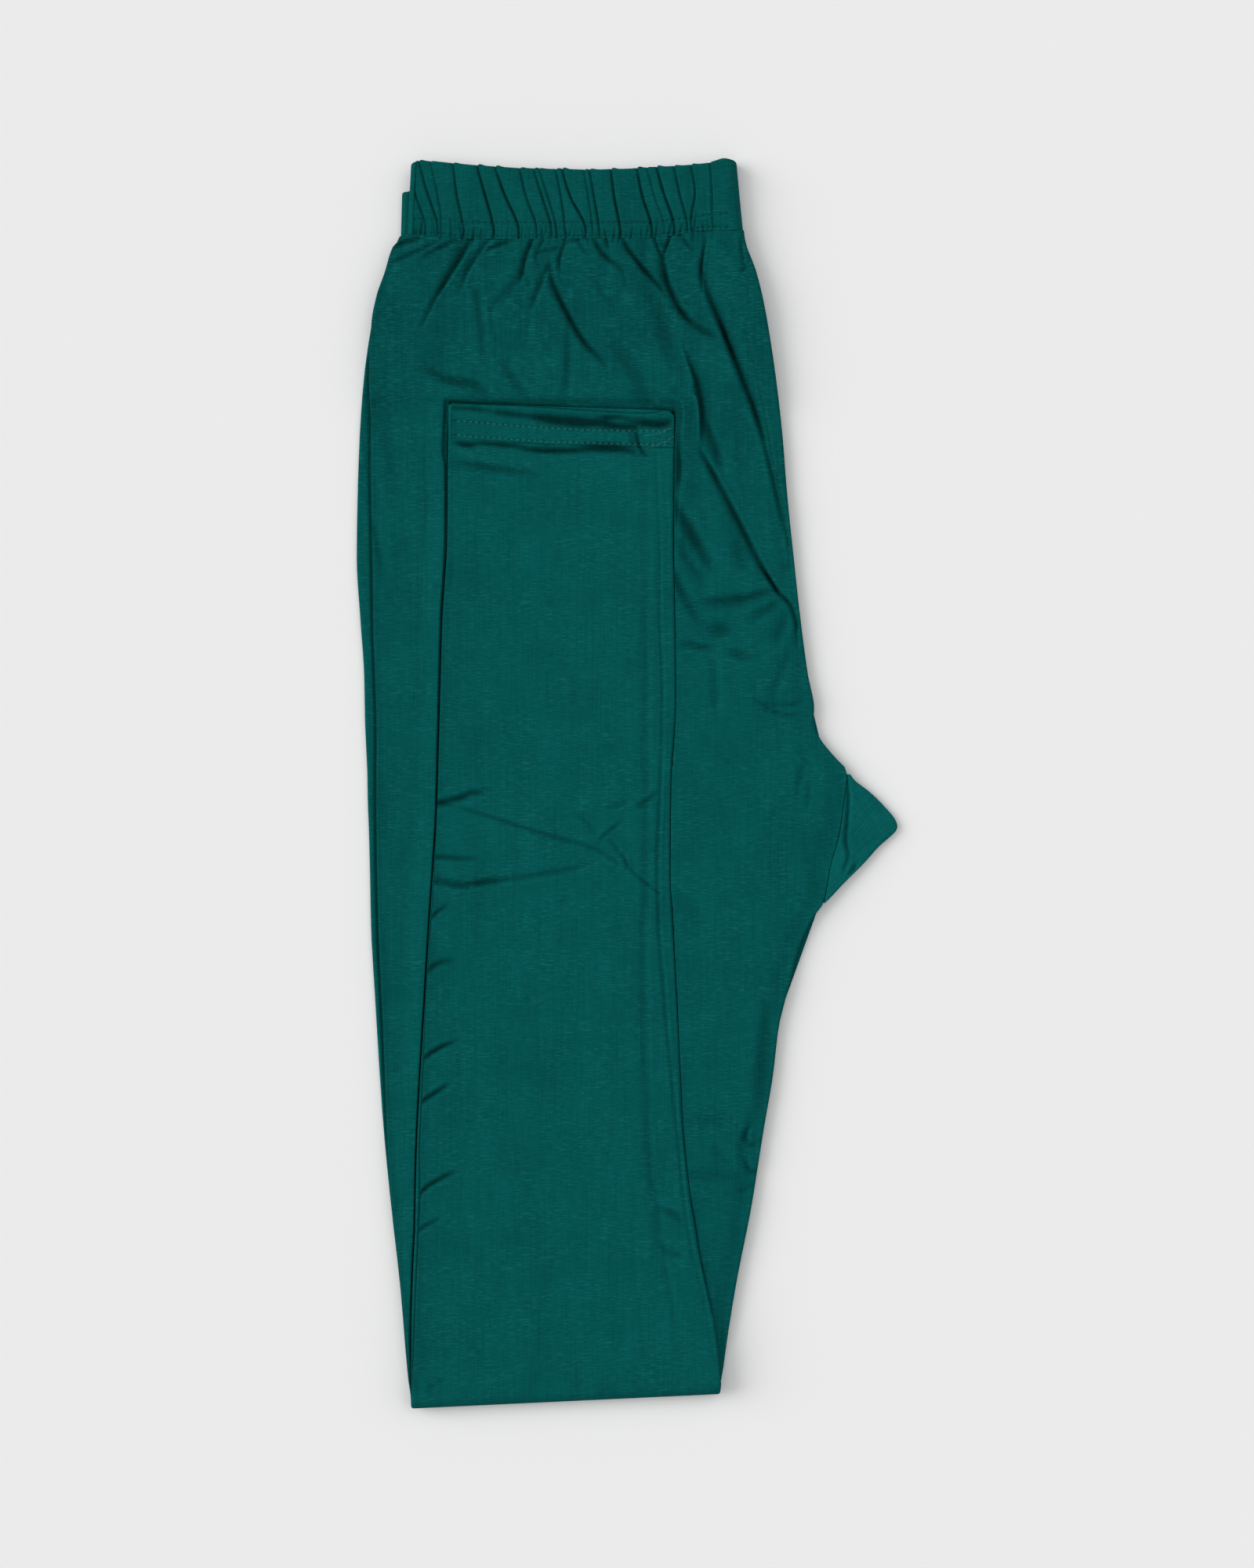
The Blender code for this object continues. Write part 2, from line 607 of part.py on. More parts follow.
def make_far_leg(material, collection):
    """The leg underneath: its thigh on the surface, its shin on top of everything."""
    thigh_rows = [row.y for row in reversed(THIGH[1:-1])]
    thigh_rows[0] = BAND_SEAM_Y
    shin_rows = np.linspace(SHIN_START_Y, HEM_SEAM_Y, FAR_SHIN_ROWS)
    rings = leg_rings("far", thigh_rows, shin_rows, FAR_ACROSS)
    return loft("far_leg", rings, material, collection)


def make_near_leg(material, collection):
    """The leg on the far one: its thigh shows beside and above the folded-up shins."""
    strip_rows = list(np.linspace(HIP_END_Y, STRIP_END_Y, STRIP_ROWS))
    hip_rows = list(np.linspace(BAND_SEAM_Y, HIP_END_Y, HIP_ROWS, endpoint=False))
    low_rows = [row.y for row in reversed(THIGH) if THIGH[0].y < row.y < STRIP_END_Y - 1]
    shin_rows = [row.y for row in SHIN[1:-2]] + [HEM_SEAM_Y]
    rings = leg_rings("near", hip_rows + strip_rows + low_rows, shin_rows, NEAR_ACROSS)
    return loft("near_leg", rings, material, collection)


def make_waistband(material, collection):
    """The gathered casing with its elastic: a closed tube, pressed flat and folded in half."""
    half = BAND_WALL / 2
    rings = [band_loop(v, half) for v in BAND_ROWS]
    rings.append(band_loop(1.0, half, drop=BAND_EDGE_ROUND))
    rings.append(band_loop(1.0, 0.0))
    rings.append(band_loop(1.0, -half, drop=BAND_EDGE_ROUND))
    rings.append(band_loop(0.0, -half))
    return loft("waistband", rings, material, collection, closed_round=True)


def make_gusset(material, collection):
    """The diamond of the crotch, folded in half, so its free edge shows two cloths."""
    lip_out = np.array((0.75, 1.0, 0.55, 1.0, 0.75))
    lip_up = np.array((0.92, 0.74, 0.5, 0.26, 0.08))
    rings = []
    for row in GUSSET:
        left = column(THIGH, "right", row.y) + SEAM_GAP
        reach = (row.right - left) / (GUSSET_TIP_X - left)
        top = GUSSET_TOP_SEAM + (GUSSET_TOP_TIP - GUSSET_TOP_SEAM) * reach
        lip = min(GUSSET_LIP, (row.right - left) * GUSSET_LIP_SHARE)
        edge = row.right - lip
        top_x = left + (edge - left) * GUSSET_ACROSS
        top_z = GUSSET_TOP_SEAM + (top - GUSSET_TOP_SEAM) * GUSSET_ACROSS**2
        x = np.concatenate(([left], top_x, edge + lip * lip_out, top_x[::-1]))
        z = np.concatenate(([GUSSET_TOP_SEAM / 2], top_z, top * lip_up, np.zeros(len(top_x))))
        rings.append(np.stack((x, np.full(x.shape, row.y), z), axis=1))
    return loft("gusset", rings, material, collection)


def make_hem(leg, line, depth, wall, material, collection):
    """A turned hem pressed flat: a ring with an open mouth at its free edge."""
    floor, _ = shin_heights(leg)
    loops = (
        (FAR_HEM_SEAM, SEAM_GAP, wall / 2),
        (line, -depth / 2, wall / 2),
        (line, -HEM_EDGE_ROUND, wall / 2),
        (line, 0.0, 0.0),
        (line, -HEM_EDGE_ROUND, -wall / 2),
        (FAR_HEM_SEAM, SEAM_GAP, -wall / 2),
    )
    rings = [hem_loop(leg, edge, above, offset, floor, wall) for edge, above, offset in loops]
    return loft(f"{leg}_hem", rings, material, collection, closed_round=True)


def main():
    for old in list(bpy.data.objects):
        bpy.data.objects.remove(old)
    leggings = bpy.data.collections.new("leggings")
    bpy.context.scene.collection.children.link(leggings)
    make_far_leg(cloth("far leg jersey", TEAL), leggings)
    make_near_leg(cloth("near leg jersey", TEAL), leggings)
    make_waistband(cloth("waistband jersey", TEAL_BAND), leggings)
    make_gusset(cloth("gusset jersey", TEAL_GUSSET), leggings)
    make_hem("far", FAR_HEM_TOP, FAR_HEM_DEPTH, FAR_HEM_WALL,
             cloth("far hem jersey", TEAL), leggings)
    make_hem("near", NEAR_HEM_TOP, NEAR_HEM_DEPTH, NEAR_HEM_WALL,
             cloth("near hem jersey", TEAL), leggings)


main()
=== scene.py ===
"""The looks of the folded leggings: jersey cloth, gathers, creases, hems and stitches.

X points to the gusset, Y to the waistband and Z up. Tables are in millimetres, MM makes them
metres, and every piece lies where its solid in the frame lies.
"""

import math
from collections import namedtuple
from functools import partial

import bmesh
import bpy
import numpy as np
from mathutils import Matrix, Vector


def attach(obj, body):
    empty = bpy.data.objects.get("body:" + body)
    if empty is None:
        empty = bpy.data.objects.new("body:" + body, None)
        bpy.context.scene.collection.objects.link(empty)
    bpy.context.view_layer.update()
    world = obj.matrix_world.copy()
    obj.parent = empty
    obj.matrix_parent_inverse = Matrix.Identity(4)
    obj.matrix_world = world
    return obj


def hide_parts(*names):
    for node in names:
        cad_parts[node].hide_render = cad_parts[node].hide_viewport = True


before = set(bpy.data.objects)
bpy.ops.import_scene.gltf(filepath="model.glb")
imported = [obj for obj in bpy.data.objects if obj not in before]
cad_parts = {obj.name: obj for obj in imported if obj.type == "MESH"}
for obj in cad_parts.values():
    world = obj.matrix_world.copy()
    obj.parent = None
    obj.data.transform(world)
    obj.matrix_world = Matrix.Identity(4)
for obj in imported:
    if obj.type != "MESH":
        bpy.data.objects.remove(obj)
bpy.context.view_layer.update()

MM = 0.001

# Cloth and layers. A leg pressed flat is its two cloths with the air between them.
CLOTH = 0.5
LAYER_GAP = 0.3
LEG_PLY = 2.4
BAND_WALL = 2.3
FAR_HEM_WALL = 1.2
NEAR_HEM_WALL = 1.05
FAR_THIGH_TOP = LEG_PLY
NEAR_THIGH_TOP = FAR_THIGH_TOP + LAYER_GAP + LEG_PLY
NEAR_SHIN_FLOOR = NEAR_THIGH_TOP + LAYER_GAP
FAR_SHIN_FLOOR = NEAR_SHIN_FLOOR + LEG_PLY + LAYER_GAP
GUSSET_TOP_SEAM = 5.1
GUSSET_TOP_TIP = 3.0

# The knee fold turns both legs round one axis. Its edge lies nearer the waistband on
# the gusset side.
FOLD_Z = NEAR_THIGH_TOP + LAYER_GAP / 2
FOLD_Y = -262.6
FOLD_SLOPE = 0.047
FOLD_MIDDLE_X = -26.7
FOLD_FADE = 90.0
FOLD_TURNS = 10

# Where the legs end at the casing and the hems, and how far from it their rows follow that seam.
BAND_SEAM_Y = 236.5
BAND_SEAM_FADE = 35.0
HEM_SEAM_Y = 147.0
HEM_SEAM_FADE = 30.0

# How far the right edges of the near shin and the far thigh lie behind the edge above them.
NEAR_SHIN_INSET = 1.0
FAR_RIGHT_INSET = 0.8

# The folded-up shins press the near thigh flat from PRESS_TUCK inside their right edge and from
# PRESS_OUTSIDE beyond their left one, with a little slack. Over PRESS_RELEASE further out it
# comes free, to rise by RELEASE_RISE.
PRESS_TUCK = 0.5
PRESS_OUTSIDE = 0.2
PRESS_SLACK = 0.1
PRESS_RELEASE = 0.9
RELEASE_RISE = 6.0

# The thigh rises in a low bank round the pile of shins. On the right it fades out below
# BANK_FROM_Y.
BANK_RISE = 2.2
BANK_REACH = 13.0
BANK_SIDE = 10.0
BANK_FROM_Y = 118.0
BANK_FADE = 36.0

# The loose strip beside the shins rises at once from their edge, leans down away from it by the
# share STRIP_LEAN, and falls to its own edge over the last stretch.
STRIP_RISE = 0.8
STRIP_LEAN = 0.75
STRIP_FALL = 10.0

# Edges of the two thighs, from the knee fold up to the casing.
Thigh = namedtuple("Thigh", "y near_left far_left right")
THIGH = (
    Thigh(-266.0, -93.8, -94.2, 40.8),
    Thigh(-248.0, -95.0, -96.0, 43.0),
    Thigh(-218.0, -97.9, -98.6, 47.6),
    Thigh(-184.0, -102.0, -102.6, 54.0),
    Thigh(-150.0, -104.4, -105.9, 59.4),
    Thigh(-126.0, -105.2, -107.6, 63.5),
    Thigh(-105.0, -106.0, -108.9, 66.0),
    Thigh(-85.0, -107.0, -110.1, 71.0),
    Thigh(-74.8, -107.5, -110.8, 73.4),
    Thigh(-64.6, -107.9, -111.3, 77.2),
    Thigh(-57.0, -108.1, -111.5, 81.6),
    Thigh(-51.7, -108.2, -111.6, 85.3),
    Thigh(-35.7, -108.6, -111.9, 88.4),
    Thigh(-20.4, -108.8, -112.3, 92.5),
    Thigh(-7.0, -108.9, -112.8, 94.4),
    Thigh(5.0, -108.9, -113.0, 95.7),
    Thigh(11.5, -108.8, -113.3, 90.5),
    Thigh(16.0, -108.8, -113.5, 86.6),
    Thigh(20.4, -108.8, -113.7, 83.4),
    Thigh(27.2, -108.8, -114.0, 80.9),
    Thigh(32.6, -109.0, -114.1, 81.3),
    Thigh(47.6, -109.5, -114.4, 78.6),
    Thigh(71.4, -110.3, -116.0, 75.4),
    Thigh(98.6, -110.6, -117.6, 72.4),
    Thigh(125.8, -111.2, -117.2, 69.6),
    Thigh(153.0, -111.2, -116.2, 67.4),
    Thigh(178.0, -112.0, -114.3, 64.4),
    Thigh(200.6, -110.8, -111.0, 60.9),
    Thigh(210.8, -108.8, -109.0, 58.8),
    Thigh(221.0, -105.1, -105.3, 55.8),
    Thigh(231.2, -101.7, -102.0, 51.6),
    Thigh(234.5, -98.4, -99.4, 50.9),
    Thigh(241.0, -95.2, -98.2, 50.3),
)

# Tops of the two thighs: the gathered casing lifts them, and they settle in a hand's breadth.
# The strip beside the folded-up shins lies loose, so it swells by strip_swell.
Hip = namedtuple("Hip", "y far_top near_top strip_swell")
HIP = (
    Hip(-300.0, FAR_THIGH_TOP, NEAR_THIGH_TOP, 0.8),
    Hip(-200.0, FAR_THIGH_TOP, NEAR_THIGH_TOP, 4.2),
    Hip(-60.0, FAR_THIGH_TOP, NEAR_THIGH_TOP, 5.0),
    Hip(40.0, FAR_THIGH_TOP, NEAR_THIGH_TOP, 5.1),
    Hip(80.0, FAR_THIGH_TOP, NEAR_THIGH_TOP, 5.0),
    Hip(130.0, FAR_THIGH_TOP, NEAR_THIGH_TOP, 4.6),
    Hip(158.0, 2.5, NEAR_THIGH_TOP, 3.8),
    Hip(164.0, 2.6, 6.0, 2.9),
    Hip(168.0, 2.7, 7.2, 1.7),
    Hip(173.0, 2.8, 7.8, 1.1),
    Hip(180.0, 3.0, 8.1, 0.8),
    Hip(190.0, 3.3, 8.4, 0.6),
    Hip(205.0, 3.8, 8.9, 0.3),
    Hip(220.0, 4.4, 9.2, 0.1),
    Hip(242.0, 4.8, 9.6, 0.0),
)

# Edges of the two shins, from the knee fold up to the hems.
Shin = namedtuple("Shin", "y near_left far_left far_right")
SHIN = (
    Shin(-264.0, -93.7, -93.3, 40.8),
    Shin(-238.0, -93.6, -92.1, 38.1),
    Shin(-221.0, -93.2, -91.5, 34.7),
    Shin(-204.0, -92.5, -90.6, 31.3),
    Shin(-192.0, -91.9, -90.1, 29.5),
    Shin(-180.0, -91.7, -89.5, 27.5),
    Shin(-163.0, -91.4, -89.7, 25.5),
    Shin(-144.0, -90.6, -89.1, 23.8),
    Shin(-129.0, -89.8, -88.4, 23.2),
    Shin(-95.0, -87.7, -87.0, 21.6),
    Shin(-59.5, -85.6, -84.7, 19.7),
    Shin(-39.0, -84.2, -83.3, 18.7),
    Shin(0.0, -81.6, -81.9, 19.0),
    Shin(37.4, -80.1, -80.9, 21.1),
    Shin(71.4, -79.1, -79.9, 20.7),
    Shin(105.4, -77.2, -77.9, 20.2),
    Shin(146.0, -76.8, -77.5, 20.5),
    Shin(166.0, -75.8, -76.5, 21.1),
)

# Seams and free edges that run across, each a short line of places.
BAND_SEAM = (
    (-98.0, 237.8), (-87.7, 237.4), (-63.6, 235.8), (9.2, 236.2), (27.0, 238.6), (34.0, 239.8),
    (51.0, 239.8))
BAND_UPPER_ROW = (
    (-98.0, 244.6), (-81.9, 244.1), (-63.6, 242.8), (9.2, 242.8), (23.8, 244.5), (34.0, 246.0),
    (51.0, 247.2))
BAND_TOP = (
    (-94.0, 268.2), (-90.5, 269.6), (-64.0, 267.6), (-40.0, 266.3), (-12.0, 265.9), (14.0, 267.0),
    (35.0, 268.7), (42.0, 270.9), (46.0, 270.2), (48.5, 267.6))
FAR_HEM_TOP = (
    (-76.5, 164.2), (-42.5, 163.2), (-20.4, 161.6), (8.5, 160.1), (17.0, 161.4), (21.1, 159.0))
FAR_HEM_SEAM = ((-76.5, 149.8), (-40.8, 147.4), (-13.6, 146.3), (21.1, 145.6))
FAR_HEM_UPPER_ROW = ((-76.5, 157.3), (-40.8, 154.4), (-13.6, 153.0), (21.1, 152.6))
FAR_HEM_LOWER_ROW = ((-76.5, 151.0), (-40.8, 148.4), (-13.6, 147.4), (21.1, 146.8))
NEAR_HEM_TOP = ((-76.0, 165.1), (-20.4, 163.2), (20.0, 161.9))

# The casing: its edges at the seam and at the top, and how far lower the far half starts.
BAND_NEAR_LEFT = (-95.2, -93.6)
BAND_FAR_LEFT = (-98.3, -97.8)
BAND_RIGHT = (50.4, 47.6)
FAR_HALF_DROP = 11.0

# The casing is smooth at its right end. Its upper stitch row lies at ROW_SHARE of its height.
BAND_SMOOTH_FROM = 37.0
BAND_SMOOTH_FADE = 6.0
ROW_SHARE = 0.25

# The gathers of the casing: each line runs from the top edge down to the upper stitch row.
Gather = namedtuple("Gather", "top_x middle_x row_x depth")
GATHERS = (
    Gather(-95.5, -92.1, -87.7, 1.1),
    Gather(-89.8, -86.4, -82.3, 1.3),
    Gather(-84.7, -82.0, -80.0, 0.6),
    Gather(-75.1, -73.6, -71.1, 1.3),
    Gather(-64.6, -61.2, -58.0, 1.9),
    Gather(-56.8, -52.5, -47.3, 1.9),
    Gather(-46.2, -43.5, -39.4, 1.2),
    Gather(-40.1, -36.6, -33.0, 1.2),
    Gather(-37.7, -34.0, -30.8, 0.9),
    Gather(-30.6, -28.4, -26.9, 1.1),
    Gather(-27.9, -24.3, -18.4, 1.9),
    Gather(-18.4, -16.5, -15.0, 0.6),
    Gather(-16.0, -14.1, -12.2, 1.3),
    Gather(-6.8, -5.4, -3.2, 1.8),
    Gather(4.4, 6.8, 10.5, 1.9),
    Gather(8.8, 11.9, 16.0, 0.6),
    Gather(12.9, 16.2, 20.1, 1.9),
    Gather(20.4, 22.8, 25.8, 1.2),
    Gather(27.9, 29.6, 27.9, 1.3),
    Gather(36.0, 36.9, 37.1, 0.7),
)

# The crease of a gather runs on over the top edge and below the seam. Its middle place lies at
# GATHER_MIDDLE of the way from the upper stitch row to the top.
GATHER_WALLS = 0.32, 0.5
GATHER_LIFTS = 0.15, 0.1
GATHER_OVER = 3.0
GATHER_UNDER = 5.0
GATHER_MIDDLE = 0.48

# The top edge rises in a hump beside each gather, and sinks at it by half the gather's dip.
HUMP_RISE = 0.35
HUMP_SIDE = 0.9
HUMP_WIDTH = 1.6
TOP_DEEPEST = -0.8

# The cloth swells in a pillow between two gathers, less where they are close. The shares are
# its swell at the seam, at the upper row and above it.
GATHER_PILLOW = 0.4
PILLOW_WIDTH = 8.0
PILLOW_LEAST = 0.5
PILLOW_FULLNESS = 0.7
PILLOW_SHARES = 0.2, 0.4, 1.0

# The crotch gusset, folded in half: Y and X along its free edge, from its lower corner upwards.
GUSSET_EDGE = (
    (-51.6, 86.1), (-50.4, 87.4), (-44.2, 93.2), (-34.0, 103.4), (-27.2, 109.5), (-23.0, 114.3),
    (-20.4, 116.9), (-18.5, 117.6), (-16.2, 117.0), (-13.6, 115.3), (-9.0, 111.2), (-3.4, 105.4),
    (2.0, 98.6), (4.2, 97.0))

# A crease is a trough along its line. Its wall is `plus` wide on one side and `minus` wide on
# the other, and each side may rise in a shoulder, by its lift. Plus is the gusset side of a line
# that runs down, and the waistband side of one that runs towards the gusset. A depth below
# zero makes a ridge.
Crease = namedtuple("Crease", "plus minus depth plus_lift minus_lift line")
PLAIN_LIFT = 0.1


def creases(*rows):
    """Creases from rows: two widths, a depth, the lifts and the places of the line.

    A row gives one lift where both are alike, and none where both are plain.
    """
    out = []
    for row in rows:
        numbers = [item for item in row if not isinstance(item, tuple)]
        plus, minus, depth, *lifts = numbers
        lifts = (lifts or [PLAIN_LIFT]) * 2
        out.append(Crease(plus, minus, depth, *lifts[:2], row[len(numbers):]))
    return tuple(out)


RIDGE_LINE = (
    (24.6, 189.5), (26.3, 184.3), (28.4, 178.2), (30.1, 172.7), (31.1, 167.3), (31.9, 161.8),
    (32.2, 156.4), (32.4, 149.0))
CROTCH_LINE = (
    (32.6, 142.8), (38.8, 132.3), (45.2, 120.4), (52.0, 107.4), (58.5, 94.5), (65.3, 83.6))
DEEP_FOLDS = creases(
    # The tuck that runs down from the casing towards the crotch.
    (1.0, 2.1, 3.0, 0.5, 0.2, (15.3, 229.8), (17.0, 219.6), (20.1, 211.5), (24.1, 204.0),
     (27.2, 200.6)),
    # The long fold from the casing to the crotch, and its end.
    (2.0, 1.1, 3.0, 0.2, 0.6, (31.6, 225.5), (35.0, 212.6), (40.1, 200.3), (44.2, 190.1),
     (49.0, 177.8), (54.4, 164.2), (59.2, 150.3)),
    (1.0, 0.8, 1.35, 0.1, 0.4, (53.4, 167.3), (58.5, 151.0), (62.2, 136.7), (66.0, 120.7),
     (70.4, 104.0)),
    # The ridge beside the right end of the hems.
    (1.4, 0.45, 1.0, 0.1, 1.0, *RIDGE_LINE),
    # The fold that carries on from the ridge to the crotch, and its end.
    (0.9, 1.4, 1.6, 0.4, 0.2, *CROTCH_LINE),
    (0.75, 0.8, 2.3, 0.3, 0.5, (58.5, 94.5), (65.3, 83.6), (69.4, 79.6), (71.7, 75.8),
     (73.8, 68.0)),
    # Three folds that fan out from the casing.
    (1.1, 1.3, 2.8, 0.4, (-33.7, 227.1), (-32.3, 217.6), (-28.2, 208.4), (-23.5, 199.6),
     (-18.4, 191.4), (-12.2, 185.0), (-8.8, 181.6)),
    (0.9, 1.2, 2.7, 0.3, (-2.7, 237.3), (1.4, 230.5), (6.8, 223.7), (13.6, 216.2), (16.7, 212.2)),
    (0.9, 1.9, 2.4, 0.5, 0.2, (-66.6, 237.3), (-71.1, 229.5), (-75.8, 221.7), (-81.3, 213.2)),
)
TUCKS = creases(
    (0.7, 1.5, 1.7, 0.2, (-102.0, 231.9), (-94.9, 234.9), (-87.7, 236.3)),
    (0.8, 1.3, 1.1, 0.2, 0.3, (-103.7, 224.4), (-95.2, 228.5), (-81.6, 234.6)),
    (0.7, 1.4, 1.8, 0.2, 0.3, (-89.1, 227.5), (-84.3, 230.5), (-76.2, 234.3), (-72.1, 234.9)),
    (0.7, 1.3, 1.6, 0.2, 0.3, (-62.9, 229.5), (-59.2, 231.9), (-52.0, 234.6), (-48.3, 235.3)),
    (0.7, 0.9, 2.6, 0.3, (-39.4, 238.3), (-41.5, 234.3), (-44.2, 227.1), (-46.2, 217.5)),
    (1.5, 1.9, 0.9, 0.2, (-45.2, 222.4), (-50.0, 213.9), (-56.4, 205.4)),
    (0.9, 1.1, 0.7, (-51.0, 215.6), (-58.5, 205.4), (-57.5, 197.9), (-56.4, 192.4)),
    (0.8, 0.9, 1.0, 0.2, 0.1, (-45.2, 222.7), (-41.1, 213.9)),
    (0.6, 0.7, 1.1, 0.2, (-35.0, 237.3), (-39.1, 229.2), (-38.4, 225.4), (-36.7, 221.7)),
    (1.0, 1.3, 1.5, 0.3, 0.2, (-34.0, 224.4), (-38.1, 214.9), (-41.8, 204.7)),
    (0.6, 0.7, 1.9, 0.2, (-27.5, 238.0), (-26.9, 234.3), (-29.2, 227.5), (-29.2, 221.7)),
    (0.7, 1.1, 1.6, 0.2, 0.3, (-38.8, 229.5), (-35.4, 230.9), (-28.6, 231.9)),
    (0.8, 0.9, 0.7, 0.1, 0.2, (-36.7, 227.8), (-33.3, 229.2), (-29.6, 229.8)),
    (0.6, 0.8, 1.1, 0.2, (-20.7, 238.0), (-20.4, 233.9), (-17.3, 229.5), (-13.9, 229.2)),
    (0.7, 0.9, 1.4, 0.2, (-26.5, 234.6), (-20.4, 235.6)),
    (0.6, 0.6, 1.1, (-18.7, 238.3), (-16.0, 233.9)),
    (0.8, 1.1, 2.3, 0.3, (-15.3, 237.0), (-10.2, 229.5), (-4.1, 224.4), (-1.7, 223.0)),
    (0.6, 0.7, 1.0, (-2.4, 223.7), (-1.0, 219.6), (-0.3, 214.9)),
    (0.6, 0.6, 1.0, (-9.2, 238.3), (-8.8, 234.9), (-7.5, 231.2)),
    (0.55, 0.6, 1.8, 0.2, (11.2, 238.3), (13.9, 230.5), (15.3, 227.8)),
    (0.55, 0.6, 1.8, 0.2, (19.4, 238.3), (16.7, 231.5), (15.6, 227.8)),
    (0.8, 0.9, 1.2, (13.6, 234.3), (15.6, 233.2), (17.7, 233.9)),
    (0.6, 0.8, 1.5, 0.2, (22.8, 238.3), (27.2, 232.6), (30.3, 230.5)),
    (0.55, 0.55, 2.0, 0.2, (33.7, 239.4), (33.7, 234.6), (32.0, 222.0), (32.6, 213.0)),
    (0.7, 0.8, 0.7, (39.8, 234.9), (42.5, 233.6), (44.9, 231.5)),
    (0.6, 0.6, 1.3, (49.6, 237.7), (49.6, 232.6), (51.0, 222.0)),
    (0.7, 0.7, 0.8, (49.3, 221.7), (52.0, 223.7)),
)
HIP_CREASES = creases(
    (0.7, 0.9, 1.5, 0.3, 0.2, (-77.2, 219.6), (-84.0, 208.4), (-89.1, 197.5)),
    (0.8, 1.1, 1.9, 0.4, 0.2, (-58.5, 237.3), (-64.3, 229.5), (-69.4, 221.7), (-72.1, 213.2)),
    (1.6, 1.8, 1.0, 0.2, 0.1, (-65.6, 220.3), (-63.2, 200.6), (-61.2, 182.9)),
    (1.5, 1.6, 1.0, (-25.5, 201.3), (-25.2, 180.2), (-26.2, 168.6)),
    (1.0, 1.1, 0.6, (-14.6, 221.7), (-9.5, 210.8), (-2.0, 202.6)),
    (3.2, 4.2, 1.3, 0.1, 0.2, (7.5, 220.3), (14.3, 205.4), (18.0, 191.1), (24.5, 174.8)),
    (3.4, 3.4, 1.1, 0.2, (-8.5, 193.8), (1.0, 182.2), (6.8, 170.0), (9.5, 163.2)),
    (0.9, 1.3, 2.0, 0.3, 0.2, (22.4, 206.7), (28.6, 199.6), (36.7, 194.5), (41.5, 192.4)),
    (0.7, 0.7, 1.2, (39.8, 200.6), (44.2, 190.1), (46.6, 183.6)),
    (3.4, 0.6, 0.9, *RIDGE_LINE[1:]),
    (6.5, 0.7, 0.8, *RIDGE_LINE[2:]),
    (0.9, 1.3, 1.3, 0.2, (31.2, 146.5), (33.6, 141.5), (37.2, 135.2), (40.5, 129.0)),
    (1.3, 2.2, 1.9, 0.3, 0.1, (34.0, 157.5), (36.4, 151.0), (39.0, 144.0), (42.0, 136.6)),
    (1.0, 4.2, 1.1, 0.2, *CROTCH_LINE[1:]),
    (1.8, 2.4, 2.0, 0.3, (-86.7, 179.9), (-76.8, 174.8), (-66.6, 173.1), (-63.6, 171.0),
     (-61.2, 165.9)),
    (1.9, 2.0, 1.3, 0.2, (-54.4, 184.3), (-47.6, 173.7), (-40.8, 165.2)),
    (1.6, 1.6, 0.8, (-113.6, 120.7), (-107.4, 102.0), (-105.4, 87.7)),
    (3.0, 3.0, 0.6, (-107.4, 170.0), (-102.0, 139.4), (-100.0, 122.4)),
    (2.2, 1.6, 1.5, 0.2, 0.1, (22.4, 149.6), (22.8, 134.3), (21.1, 127.2)),
    (2.2, 2.8, 2.3, 0.6, 0.2, (20.7, 122.4), (27.2, 110.5), (35.0, 96.9), (38.8, 92.8)),
    (2.0, 2.2, 1.1, 0.3, 0.2, (21.4, 106.1), (28.9, 94.2), (34.7, 85.7)),
    (2.0, 1.6, 1.7, 0.3, 0.1, (20.4, 92.5), (24.8, 80.9), (32.0, 69.4)),
    (3.0, 3.4, 1.3, 0.2, (46.9, 106.8), (49.0, 99.3), (51.7, 91.8)),
    (1.4, 2.8, 1.9, 0.5, 0.2, (31.0, 78.5), (40.1, 79.2), (52.0, 80.6), (66.6, 84.3)),
    (1.8, 2.4, 1.2, 0.5, 0.1, (53.4, 71.7), (58.5, 74.1), (66.6, 78.9)),
    (3.0, 3.2, 1.6, 0.2, (34.0, 66.0), (40.1, 66.6), (46.2, 67.0)),
    (0.9, 1.4, 2.0, 0.3, (22.4, 59.2), (27.2, 60.5), (32.3, 59.2), (39.8, 58.5)),
    (1.8, 2.2, 1.5, 0.2, (43.5, 57.1), (49.3, 55.8), (55.8, 54.7)),
    (1.8, 2.0, 0.5, (36.9, 57.5), (38.4, 45.2), (39.2, 30.5), (42.2, 25.5)),
    (2.2, 2.6, 1.0, 0.1, 0.2, (68.7, 72.1), (67.3, 66.6), (65.3, 61.2)),
    (1.8, 2.2, 0.6, (71.5, 59.5), (67.3, 48.2), (63.6, 39.3), (62.6, 33.6)),
    (0.9, 1.0, 1.3, 0.2, 0.1, (59.5, 35.4), (68.7, 33.9), (76.4, 35.9)),
    (0.9, 1.2, 1.6, 0.3, 0.1, (55.4, 36.4), (61.3, 32.7), (67.3, 30.5), (75.0, 28.9)),
    (0.7, 0.8, 1.2, (73.8, 72.0), (73.4, 65.8), (73.9, 59.5)),
    (0.8, 0.8, 0.7, (68.3, 93.2), (71.7, 94.5)),
    (1.2, 1.4, 0.9, (77.9, 17.0), (75.5, 3.4), (73.8, -2.7)),
    (0.7, 0.7, 0.7, (78.5, 0.7), (78.9, -4.1), (78.9, -9.5)),
)
